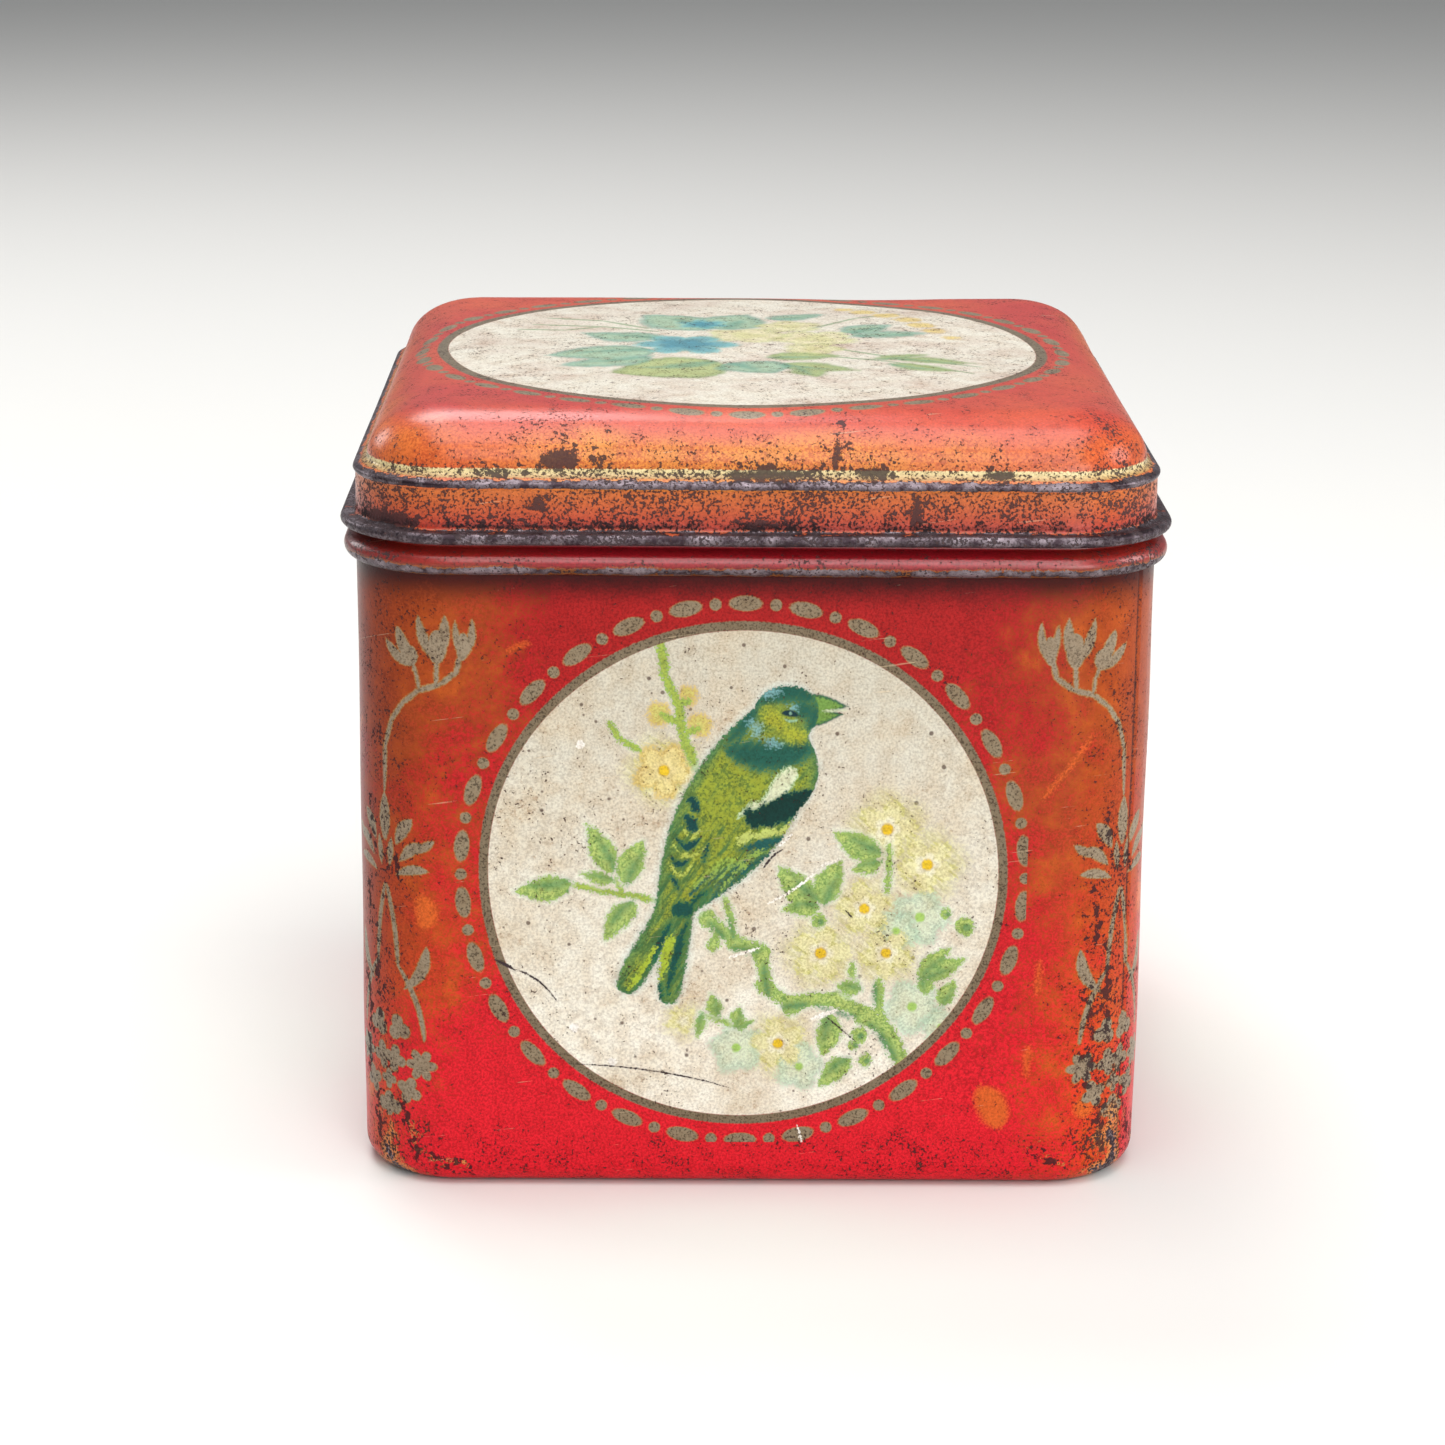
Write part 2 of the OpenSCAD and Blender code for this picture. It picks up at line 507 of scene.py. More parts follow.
class Flower:
    """A blossom with rounded petals about its middle."""

    def __init__(self, x, y, radius, petals=5, depth=0.35, turn=0.0):
        self.x, self.y, self.radius = x, y, radius
        self.petals, self.depth, self.turn = petals, depth, turn
        self.low = (x - radius, y - radius)
        self.high = (x + radius, y + radius)

    def draw(self, page, before, blend):
        g = page.g
        x = g.dot(page.place, (1.0, 0.0, -self.x - page.centre[0]))
        y = g.dot(page.place, (0.0, 1.0, -self.y - page.centre[1]))
        angle = g.maths("ARCTAN2", y, x)
        wave = abs(g.maths("COSINE", angle * (self.petals / 2) + self.turn))
        reach = wave * (self.radius * self.depth) + self.radius * (1 - self.depth)
        away = g.maths("SQRT", x * x + y * y) - reach
        return g.maths("SMOOTH_MIN", away, before, blend)


def blades(*rows):
    """Blades from rows of x0, y0, x1, y1, width and, if need be, bend, point and taper."""
    return [Blade(*row) for row in rows]


def dot_at(x, y, radius):
    """A round spot."""
    return Blade(x - radius, y, x + radius, y, radius)


def dots(rows, share=1.0):
    """Round spots from rows of x, y and radius, each with a share of that radius."""
    return [dot_at(x, y, share * radius) for x, y, radius in rows]


def stroke(width, *points):
    """A line of even width through several points, with round overlapping ends."""
    made = []
    for (x0, y0), (x1, y1) in zip(points, points[1:]):
        reach = 0.9 * width / math.hypot(x1 - x0, y1 - y0)
        dx, dy = (x1 - x0) * reach, (y1 - y0) * reach
        made.append(Blade(x0 - dx, y0 - dy, x1 + dx, y1 + dy, width, point=0.25))
    return made


class Page:
    """Part of a printed sheet, onto which shapes are printed one ink at a time."""

    def __init__(self, g, place, bounds, centre, ground, grain):
        self.g, self.place, self.bounds, self.centre = g, place, bounds, centre
        self.colour, self.grain = ground, grain

    def near(self, shapes, margin=1.2):
        """Those of the shapes that reach into this part of the sheet."""
        x0, y0, x1, y1 = self.bounds
        cx, cy = self.centre
        return [
            shape for shape in shapes
            if shape.low[0] + cx - margin < x1 and shape.high[0] + cx + margin > x0
            and shape.low[1] + cy - margin < y1 and shape.high[1] + cy + margin > y0
        ]

    def distance(self, shapes, blend=0.0):
        """How far it is to the nearest of the shapes, below zero inside them."""
        away = FAR
        for shape in shapes:
            away = shape.draw(self, away, blend)
        return away

    def lay(self, cover, tone):
        """Covers part of the page with a tone."""
        self.colour = self.g.mix(cover, self.colour, tone)

    def paint(self, shapes, tone, edge=None, depth=0.5, soft=0.1, grit=0.4,
              strength=1.0, blend=0.0, inside=None, grow=0.0, ragged=None):
        """Prints the shapes, from the edge's colour to the tone at some depth.

        soft is half the width of their edge, grit the share of the grain in it, grow a
        spread outward, ragged a further push in and out, and inside a mask.
        """
        close = self.near(shapes)
        if not close:
            return
        g = self.g
        away = self.distance(close, blend) + self.grain * grit
        if ragged is not None:
            away = away + ragged
        cover = g.step(away, soft + grow, grow - soft)
        if strength != 1.0:
            cover = cover * strength
        if inside is not None:
            cover = cover * inside
        if edge is not None:
            tone = g.mix(g.step(away, -0.05, -depth), edge, tone)
        self.lay(cover, tone)


# ------------------------------------------------------------ printed pictures


def leaf(x0, y0, x1, y1, width, bend=0.0):
    """A pointed leaf from its stalk to its tip."""
    return Blade(x0, y0, x1, y1, width, bend, 0.8, -0.35)


def vein(x0, y0, x1, y1, width, bend=0.0):
    """The shaded stalk end and midrib of a leaf between the same two points."""
    side = 0.3 * width / max(math.hypot(x1 - x0, y1 - y0), 0.1)
    dx, dy = (y1 - y0) * side, -(x1 - x0) * side
    reach = 0.72
    tip = (x0 + (x1 - x0) * reach + dx, y0 + (y1 - y0) * reach + dy)
    return Blade(x0 + dx, y0 + dy, *tip, width * 0.3, bend, 0.9, -0.5)


# The drawing is laid out in millimetres from the picture's middle. A leaf is
# x0, y0, x1, y1, width and bend, and a bud, a bump or a flower is x, y and radius.
LEAVES = [
    (-17.3, -0.9, -23, -1.8, 1.25, 0.25), (-13.4, 0.3, -15.7, 5.3, 1.25, -0.2),
    (-12.2, -0.9, -10.1, 3.8, 1.3, 0.2), (-13.2, -0.6, -16.4, 0.1, 0.65, 0),
    (-10.9, -2.8, -14, -6.8, 1.15, -0.3), (13.9, 2.4, 9.2, 4.9, 1.35, 0.2),
    (13.9, 1.7, 11, 0.9, 0.9, 0), (7.4, -2.8, 3.5, 1.1, 1.5, 0.2),
    (7.8, -2.8, 9.9, 1.9, 1.4, 0.2), (7.7, -3.2, 3.9, -3.5, 1, -0.2),
    (9, -14.6, 8.3, -19.2, 1.25, 0.2), (11.2, -19.5, 7.9, -22.5, 1.1, -0.2),
    (11.9, -12.1, 9.4, -11.6, 0.8, 0), (17.6, -10.4, 22.4, -8.6, 1.15, -0.2),
    (17.8, -10.8, 21, -7.4, 0.9, 0.3), (20, -13.6, 21.4, -11, 0.9, 0),
    (-2.6, -14.8, -3.2, -12.4, 0.75, 0), (-0.7, -15.8, -0.2, -13.8, 0.7, 0),
    (-0.8, -15.9, 1.3, -15.4, 0.5, 0), (-4, -14.6, -4.4, -17, 0.5, 0),
    (18.3, -10.6, 18.7, -12.6, 0.8, 0),
]
BUDS = [
    (7.6, -4.6, 0.75), (11.9, -16.9, 0.85), (12.6, -19.6, 0.7), (22.3, -5.1, 1),
    (20.4, -3.7, 0.55), (-17.9, -1.6, 0.4), (11.4, -17.9, 0.6),
]
BRANCH = (
    stroke(0.85, (16.4, -20), (15, -16.7), (12.5, -14.6))
    + stroke(0.75, (12.5, -14.6), (9.9, -13.3), (7.4, -13), (4.9, -13.5))
    + stroke(0.65, (4.9, -13.5), (2.5, -12), (2, -9.6), (1.5, -7.7), (-0.8, -7.1))
    + stroke(0.6, (-0.8, -7.1), (-2.3, -5.5), (-4, -4.4))
    + stroke(0.45, (-2.6, -5.5), (-3, -7.4))
    + stroke(0.35, (-2, -2.4), (-1.3, -4.6), (-0.9, -7))
    + stroke(0.45, (14.9, -16.9), (13.9, -14.2), (13.7, -11.2))
    + stroke(0.3, (14.7, 3.4), (14.7, 1), (14.5, -1.3))
    + stroke(0.3, (-4.1, -14.5), (-2.4, -15.1), (-0.6, -15.9))
    + stroke(0.3, (11.7, -11.8), (10.9, -10.2), (11.1, -9.3))
)
TWIGS = (
    stroke(0.35, (-8.6, -2.7), (-11.9, -2), (-14.4, -1.6), (-17.3, -1))
    + stroke(0.5, (-8.4, 24.6), (-7.9, 20.8), (-6.6, 17.9), (-6.3, 15), (-4.8, 11.4))
    + stroke(0.35, (-13.4, 16), (-12.4, 14.4), (-10.6, 13.4))
    + stroke(0.4, (-7, 18.2), (-5.8, 18.4)) + stroke(0.4, (-6.5, 16.2), (-8.2, 17))
    + stroke(0.4, (-6.2, 15), (-4.8, 15.6))
    + stroke(0.3, (-12.9, -0.4), (-12.2, -1.9))
)
BUMPS = [
    (12.4, -14.9, 1.1), (9.8, -13, 1), (5, -13.8, 1), (2.2, -11.6, 0.95), (1.8, -8.1, 0.95),
    (-1, -7, 0.85), (-3.7, -4.5, 0.95), (-3.1, -7.3, 0.65),
]
KNOTS = blades(
    (15.8, -19.6, 12.9, -15.6, 0.3, -0.2), (11.6, -14.9, 7.4, -13.7, 0.25, 0.2),
    (6.6, -13.6, 3.9, -13.9, 0.3), (2.6, -12.6, 2.1, -9.4, 0.25, 0.1),
    (1.6, -8, -1.2, -7.6, 0.25), (-1.8, -6.6, -3.6, -4.9, 0.25),
    (13.5, -13.8, 13.4, -11.4, 0.2), (-1.5, -4.4, -1, -6.6, 0.2),
)
YELLOW_BUDS = dots([(-5.7, 19, 1.05), (-8.6, 17.1, 1.25), (-4.6, 16, 1.25)])
YELLOW_FLOWERS = [
    (14.5, 5.2, 3.1), (18.5, 1.5, 3), (12.2, -3.2, 2.8), (7.8, -8.1, 3.1), (14.4, -8, 2.8),
    (3.7, -17.8, 2.8), (-8.1, 11.2, 3), (-5.9, -15.2, 1.5),
]
BLUE_FLOWERS = [
    (17.8, -4.1, 2.8), (17.2, -13.8, 2.8), (-0.5, -18.2, 2.6), (5.9, -20.3, 2.4),
    (15.4, -5.6, 2.2), (20.2, -16, 2),
]

HEAD = blades(
    (0.9, 17.1, 7.2, 17.3, 2.55, 0.15, 0.4), (1.4, 18.1, 6.4, 18.2, 1.4),
    (2.8, 18, -4.6, 9.2, 1.6, -0.2, 0.4),
)
BEAK = blades(
    (4.4, 17.8, 10.2, 17.8, 1.15, 0.1, 1, -0.5), (4.4, 16.8, 9.7, 17, 1, -0.1, 1, -0.5),
)
BEAK_LINE = blades((7.6, 17.35, 9.9, 17.45, 0.13))
BODY = blades((5.6, 17.2, -8.9, -5.8, 5.4, 0, 0.9, -0.28), (-3.4, 10.5, 7.4, 11.7, 5))
TAIL = blades(
    (-6.8, -1.5, -12, -12.2, 1.35, 0.1, 0.28, 0.25),
    (-5.6, -1.5, -7.5, -13.4, 1.25, -0.2, 0.28, 0.2),
)
CROWN = blades(
    (0.9, 18.4, 6.9, 18.7, 1.5, 1), (1.4, 19.2, -1.8, 14, 0.9, 0.3),
    (-2.3, 13.6, 7.2, 13.6, 1.75, -0.9, 0.6), (6.9, 18.2, 6.9, 13.2, 0.85, -0.2),
    (4.6, 18, 7.6, 16.6, 1),
)
CHEEK = blades((1.4, 17.7, 4.4, 15.4, 1.3, 0, 0.5), (2.8, 15.7, 6.3, 14.5, 1, 0, 0.5))
SKY_MARKS = blades(
    (0.5, 16.4, 1.4, 14.8, 0.55, 0.1), (1.7, 19.1, 3.4, 19.4, 0.4, 0.1),
    (2, 14.4, 3.4, 13.8, 0.35, -0.1), (4.2, 17.7, 5, 17.6, 0.25),
)
EYE = blades((3.5, 17.2, 5.2, 16.9, 0.34, 0.12, 0.7))
EYE_RIM = blades((3.8, 16.6, 5.2, 16.5, 0.12, -0.2)) + [dot_at(4.4, 17.15, 0.14)]
WHITE_BAR = blades(
    (-0.6, 6.4, 3.2, 8.4, 0.55, 0.1, 0.6), (1.7, 7.6, 5, 11.6, 1, -0.3, 0.5, 0.2),
)
DARK_BAR = blades(
    (0.1, 5.8, 7, 8.9, 1.35, -0.3, 0.4, 0.1), (0.3, 7.3, 1.3, 5, 0.7),
    (1.9, 7.8, 2.9, 5, 0.7, 0, 0.8), (3.4, 8.3, 4.4, 5.5, 0.65, 0, 0.8),
    (5, 9.4, 5.6, 6.4, 0.6, 0, 0.8),
)
PALE_BAR = blades(
    (-0.8, 3.5, 2, 4.4, 0.5, 0.3), (1.4, 4, 3.8, 4.8, 0.45, 0.2),
    (3.2, 4.5, 5.8, 5.7, 0.4, 0.15),
)
QUILLS = blades(
    (-0.6, 2.7, 4.9, 4.1, 0.5, 0.2, 0.8),
    *[(4.6 - 0.9 * i, 3.5 - 0.45 * i, -2.2 - 0.8 * i, -2.3 + 0.1 * i, 0.24, -0.7, 0.9)
      for i in range(5)],
    (5.3, 4.6, -3.4, -2.9, 0.42, -1.1, 0.8),
)
PALE_QUILLS = blades(
    *[(3.4 - 1.1 * i, 3.2 - 0.4 * i, -2.6 - 0.8 * i, -1.6 + 0.2 * i, 0.18, -0.6, 0.9)
      for i in range(4)]
)
SCALES = blades(
    (-5.4, 8.5, -4.7, 6.7, 0.5), (-5.9, 6.6, -4.8, 4.5, 0.65),
    (-7, 4.2, -4.4, 4, 0.5, -0.95, 0.6), (-7.5, 2.2, -5.4, 2, 0.45, -0.9, 0.6),
    (-7.6, 0.1, -6.6, -1.7, 0.3, 0.2, 0.7), (-3.6, 3.4, -4.2, 1.2, 0.22),
)
SCALE_RIMS = blades(
    (-7.1, 3.2, -4.2, 3, 0.2, -1), (-7.5, 1.1, -5.3, 1, 0.18, -0.9),
    (-6.3, 5.5, -4.3, 5.3, 0.16, -1.2),
)
TAIL_MARKS = blades(
    (-7.4, -3.6, -5, -3.6, 0.9), (-7.3, -4.6, -11, -11.5, 0.5, 0.2, 0.8),
    (-5.7, -4.6, -7.6, -12.6, 0.55, -0.2, 0.8), (-8.7, -9.5, -8.1, -13.4, 0.3),
    (-3.2, -1.2, -6.2, -4.2, 0.35, -0.2),
)
TAIL_LIGHTS = blades((-7.3, -6.2, -8.4, -11, 0.45), (-9, -7.5, -11.7, -12, 0.28, 0.3))


def paint_bird(page):
    """A songbird of the yellow and green kind, seen from behind its wing."""
    g = page.g
    leafy, lime = ink(72, 122, 76), ink(146, 158, 50)
    teal, deep = ink(30, 88, 74), ink(4, 52, 46)
    beak_green = ink(112, 150, 70)
    close = page.near(HEAD + BODY + TAIL)
    if not close:
        page.paint(BEAK, beak_green, teal, 0.4, grit=0.5)
        return
    rough = page.distance(close, 1.2) + page.grain * 0.9
    page.lay(g.step(rough, 0.75, 0.1) * 0.5, ink(206, 218, 212))
    page.paint(BEAK, beak_green, teal, 0.4, grit=0.5)
    inside = g.step(rough, 0.12, -0.12)
    along = g.dot(page.place, (0.55, 0.84, 0.0)) * 0.16
    across = g.dot(page.place, (0.84, -0.55, 0.0))
    lie = g.wire("CombineXYZ", {0: along, 1: across})
    barbs = g.noise(lie, 1.7, 3.0, 0.6)
    depth = g.step(rough + (barbs - 0.5) * 1.4, -0.1, -1.5)
    coat = g.mix(depth, leafy, lime)
    low = g.step(along, 5.6, 4.4)
    coat = g.mix(g.step(barbs + low * 0.14, 0.6, 0.74) * 0.8, coat, ink(46, 100, 62))
    mottle = g.noise(page.place, 0.8, 3.0, 0.6) + page.grain * 1.4
    coat = g.mix(g.step(mottle, 0.45, 0.75) * 0.7, coat, ink(84, 118, 56))
    page.lay(inside, coat)
    ragged = (barbs - 0.5) * 1.5
    marks = {"inside": inside, "soft": 0.16, "grit": 1.2, "ragged": ragged}
    smudged = {"inside": inside, "soft": 0.36, "grit": 2.0, "ragged": ragged}
    page.paint(CROWN, teal, ink(60, 112, 80), 1.0, blend=0.7, **smudged)
    page.paint(CHEEK, ink(162, 168, 52), ink(118, 142, 60), 0.9, blend=0.6, **smudged)
    page.paint(SKY_MARKS, ink(128, 176, 180), strength=0.75, **smudged)
    page.paint(BEAK_LINE, ink(206, 216, 186), strength=0.8)
    page.paint(EYE, ink(16, 50, 58), inside=inside, grit=0.25)
    page.paint(EYE_RIM, ink(150, 196, 170), inside=inside, grit=0.2, strength=0.8)
    page.paint(WHITE_BAR, ink(212, 218, 184), ink(168, 196, 150), 0.45, blend=0.4, **marks)
    page.paint(DARK_BAR, deep, teal, 0.3, blend=0.2, **marks)
    page.paint(PALE_BAR, ink(184, 196, 104), blend=0.3, **marks)
    page.paint(QUILLS, ink(28, 86, 80), **marks)
    page.paint(PALE_QUILLS, ink(150, 178, 74), strength=0.8, **marks)
    page.paint(SCALES, ink(12, 66, 66), ink(48, 106, 74), 0.25, **marks)
    page.paint(SCALE_RIMS, ink(186, 198, 92), strength=0.8, **marks)
    page.paint(TAIL_MARKS, ink(16, 74, 66), ink(44, 104, 66), 0.3, **marks)
    page.paint(TAIL_LIGHTS, ink(160, 180, 54), **marks)


def paint_sprays(page):
    """Blossom, leaves and twigs round the bird."""
    g = page.g
    straw, cream, pale_blue = ink(188, 184, 92), ink(222, 216, 164), ink(166, 196, 170)
    rim, shade, halo = ink(138, 172, 86), ink(66, 124, 84), ink(224, 230, 214)
    worn_edge = (g.noise(page.place, 1.1, 3.0, 0.6) - 0.5) * 1.1
    fresh = g.step(worn_edge + page.grain, -0.2, 0.34)
    green = g.mix(fresh, ink(180, 198, 112), ink(106, 152, 82))
    soft = {"soft": 0.3, "grit": 1.6, "ragged": worn_edge}
    hatch = g.noise(g.turned(page.place, (1.6, 2.0, 0.0), (0.3, -0.25, 0.0)), 1.0, 2.0)
    hatched = g.mix(g.step(hatch, 0.4, 0.6), cream, straw)
    washes = [Flower(x, y, 1.3 * r, 5, 0.18, turn=x) for x, y, r in YELLOW_FLOWERS]
    page.paint(washes, hatched, strength=0.5, soft=0.8, grit=2.2)
    for turn, (x, y, radius) in enumerate(BLUE_FLOWERS):
        blossom = [Flower(x, y, 1.1 * radius, 5, 0.25, turn)]
        page.paint(blossom, ink(204, 218, 188), pale_blue, 1.3, strength=0.75, **soft)
    for turn, (x, y, radius) in enumerate(YELLOW_FLOWERS):
        blossom = [Flower(x, y, radius, 5, 0.45, turn)]
        page.paint(blossom, cream, hatched, 0.8, strength=0.95, **soft)
    throats = [Flower(x, y, r * 0.42, turn=r) for x, y, r in YELLOW_FLOWERS]
    page.paint(throats, ink(232, 228, 204), strength=0.7, soft=0.2, grit=0.6)
    rose = [Flower(-8.1, 11.2, 3.1, 5, 0.35, 0.6)]
    page.paint(rose, ink(222, 204, 136), ink(204, 172, 84), 0.9, strength=0.85, **soft)
    page.paint(YELLOW_BUDS, ink(198, 190, 96), ink(208, 176, 84), 0.7, strength=0.9, **soft)
    wood = BRANCH + dots(BUMPS)
    page.paint(wood, ink(216, 226, 208), strength=0.5, grow=0.35, soft=0.25)
    page.paint(wood, green, rim, 0.5, grit=1.3, blend=0.5, ragged=worn_edge * 0.6)
    page.paint(KNOTS, shade, strength=0.8, **soft)
    page.paint(TWIGS, ink(158, 178, 78), rim, 0.3, grit=1.2, ragged=worn_edge * 0.5)
    foliage = [leaf(*row) for row in LEAVES] + dots(BUDS)
    page.paint(foliage, halo, strength=0.5, grow=0.35, soft=0.25)
    page.paint(foliage, green, rim, 0.6, grit=1.2, soft=0.16, ragged=worn_edge * 0.8)
    page.paint([vein(*row) for row in LEAVES], shade, strength=0.65, soft=0.35, grit=1.6)
    bud_shades = [dot_at(x + 0.2, y - 0.1, r * 0.4) for x, y, r in BUDS]
    page.paint(bud_shades, shade, strength=0.7, soft=0.15)
    hearts = dots(YELLOW_FLOWERS[:7], 0.2)
    page.paint(hearts, ink(226, 190, 44), ink(206, 170, 50), 0.2, soft=0.15, grit=0.3)
    page.paint(dots(BLUE_FLOWERS, 0.18), ink(160, 196, 100), soft=0.15)


def paint_songbird(page):
    """The whole picture on each wall."""
    paint_sprays(page)
    paint_bird(page)


BOUQUET_LEAVES = [
    (-2, -9.5, -13.5, -15, 3.8, 0.8), (-1, -9, 3.2, -15.2, 2.6, 0.5),
    (-9, -3.5, -20.5, -5.5, 2.6, -0.6), (-9.5, -6.5, -19, -11, 1.8, 0.3),
    (-8.5, 4, -17, 8, 2, 0.5), (-4, 9.5, -10.5, 19.5, 3, -0.6), (-2, 10, 1, 20.5, 2.8, 0.6),
    (3, 17.5, 9.5, 21, 1.3, -0.4), (11.5, 8, 16.5, 13.5, 1.6, 0.4), (12, 6.5, 20.5, 9, 1.2, 0),
    (2.5, -6, 10.5, -5, 1.5, 0.3), (4, -9.5, 11.5, -13.5, 1.6, -0.4),
    (6, -12, 7.5, -17, 1.3, 0), (16, -6.5, 24, -8, 1.1, 0.3), (15.5, -9.5, 22, -13, 1.2, -0.3),
    (14, -7, 19.5, -3.5, 0.9, 0),
]
BOUQUET_STEMS = (
    stroke(0.28, (-9, 8.5), (-15, 12), (-22.5, 13.5))
    + stroke(0.28, (-10, 10.5), (-15, 15.5), (-21, 17.5))
    + stroke(0.28, (-15, 12), (-19, 10), (-24, 10.5))
    + stroke(0.28, (8, -5), (15, -8), (23.5, -14))
    + stroke(0.28, (9, 0), (15.5, -5.5), (24.5, -10))
    + stroke(0.28, (7, 10), (13, 18), (18, 21))
)
LID_BUDS = [
    (14, 22.5, 1.5), (16.5, 20, 1.6), (18.8, 17, 1.6), (20, 13.5, 1.5), (21.3, 10.2, 1.3),
    (23, 6.5, 1), (12, 24.5, 1.1),
]
LID_ROSES = [(0.8, 6.5, 4.6), (8, 5, 4.6), (5.5, 12.5, 3.6), (7.5, -1, 3.2)]
LID_BLUE = [(-6, 0.5, 5.6), (-4, 13.5, 3)]


def paint_bouquet(page):
    """Faded roses, a blue flower and leaves on the lid."""
    foliage = [leaf(*ends, width * 1.45, bend) for *ends, width, bend in BOUQUET_LEAVES]
    green_leaves, blue_leaves = foliage[:1] + foliage[10:], foliage[1:10]
    worn_edge = (page.g.noise(page.place, 0.6, 4.0, 0.6) - 0.5) * 2.0
    soft = {"soft": 0.5, "grit": 1.8, "ragged": worn_edge}
    page.paint(BOUQUET_STEMS, ink(140, 164, 124), grit=0.9, strength=0.85)
    page.paint(green_leaves, ink(172, 186, 118), ink(132, 160, 98), 1.6, strength=0.9, **soft)
    page.paint(blue_leaves, ink(152, 188, 156), ink(100, 158, 142), 1.6, strength=0.85, **soft)
    veins = [vein(*row) for row in BOUQUET_LEAVES]
    page.paint(veins, ink(84, 148, 130), strength=0.6, **soft)
    for turn, (x, y, radius) in enumerate(LID_ROSES):
        rose = [Flower(x, y, radius, 5, 0.25, turn)]
        page.paint(rose, ink(226, 218, 176), ink(196, 200, 130), 1.4, strength=0.85, **soft)
        heart = [Flower(x, y, radius * 0.5, 3, 0.4, turn)]
        page.paint(heart, ink(196, 196, 120), strength=0.5, **soft)
    for turn, (x, y, radius) in enumerate(LID_BLUE):
        bloom = [Flower(x, y, radius, 6, 0.3, turn)]
        page.paint(bloom, ink(84, 160, 172), ink(120, 186, 184), 1.8, strength=0.9, **soft)
        heart = [Flower(x, y, radius * 0.55, 5, 0.4, turn)]
        page.paint(heart, ink(48, 128, 150), strength=0.6, **soft)
    buds = dots(LID_BUDS)
    page.paint(buds, ink(224, 198, 112), ink(210, 176, 84), 0.6, strength=0.85, **soft)


# the gilt ornament, from the middle line of a corner and from the floor; a star is
# x, y, radius, petals and turn
TULIPS = blades(
    (3.9, 54.9, 2.1, 58.7, 0.7, 0.1, 0.6, -0.1), (4, 54.9, 0.6, 57.2, 0.55, 0.35, 0.7),
    (4, 55, 3.5, 57, 0.5, -0.2, 0.6), (6.4, 55.2, 6.5, 58.7, 0.95, 0, 0.5),
    (6.2, 55.6, 4.5, 60.1, 0.55, 0.3, 0.8, -0.1), (6.4, 55.6, 7.2, 60.2, 0.6, -0.3, 0.8),
    (8.8, 55.5, 9, 58.4, 0.65, -0.1, 0.5), (8.8, 55.8, 8.2, 59.6, 0.36, 0.1, 0.8),
    (8.9, 55.6, 9.9, 59.8, 0.42, -0.35, 0.8),
)
VINE = (
    stroke(0.3, (8.6, 55.6), (8.3, 54.3), (6.7, 53.1), (4.5, 52.4))
    + stroke(0.28, (4.6, 52.5), (2.7, 51), (1.2, 49), (0.3, 46.2), (0, 41.5))
    + stroke(0.25, (6.4, 55.6), (6.3, 53.1))
    + stroke(0.22, (3.9, 55), (4.3, 54), (4.5, 52.6))
)
STEMS = blades(
    (0.1, 31.6, 1.5, 23, 0.3, 0.3, 0.25), (1.5, 23.2, 4.6, 15.5, 0.3, 0.7, 0.3),
    (2.3, 20.8, 4.9, 25.6, 0.65, -0.7, 0.7, 0.2), (2.4, 21.2, 4.7, 23.5, 0.45, -0.3, 0.8),
)
PALMETTE = blades(
    (0.1, 36.2, 0, 41.2, 0.7, 0, 0.8), (1.5, 36, 3.5, 38.9, 0.7, 0.2, 0.8, 0.2),
    (1.9, 34.3, 4.6, 36.4, 0.6, 0.2, 0.8, 0.3), (3.4, 35.4, 5.9, 36.8, 0.45, -0.1, 0.8, 0.2),
    (1.4, 32.8, 5.2, 33.6, 0.5, 0.35, 0.8, 0.2), (0.6, 33.6, 0.9, 36.6, 0.4, 0, 0.8),
)
STARS = [
    (1.5, 16.4, 1.5, 3, 0.4), (0.9, 13, 1.5, 4, 0.3), (4.2, 12.9, 1.75, 6, 0),
    (2.7, 9.9, 1.5, 4, 0.8), (0.2, 7.8, 1.5, 3, 0.2), (0, 10.6, 1.1, 4, 0),
]


def paint_corner(page, on_face):
    """Gilt tulips on the front and back, and palm leaves and stars round each corner."""
    stars = [Flower(x, y, radius, petals, 0.45, turn) for x, y, radius, petals, turn in STARS]
    g = page.g
    dull = g.mix(g.step(page.grain, 0.04, 0.18) * 0.5, ink(146, 130, 108), ink(84, 70, 54))
    printed = {"edge": ink(158, 118, 70), "depth": 0.06, "soft": 0.06, "grit": 0.35, "grow": 0.06}
    page.paint(TULIPS + VINE, dull, inside=on_face, **printed)
    page.paint(STEMS + PALMETTE + stars, dull, **printed)


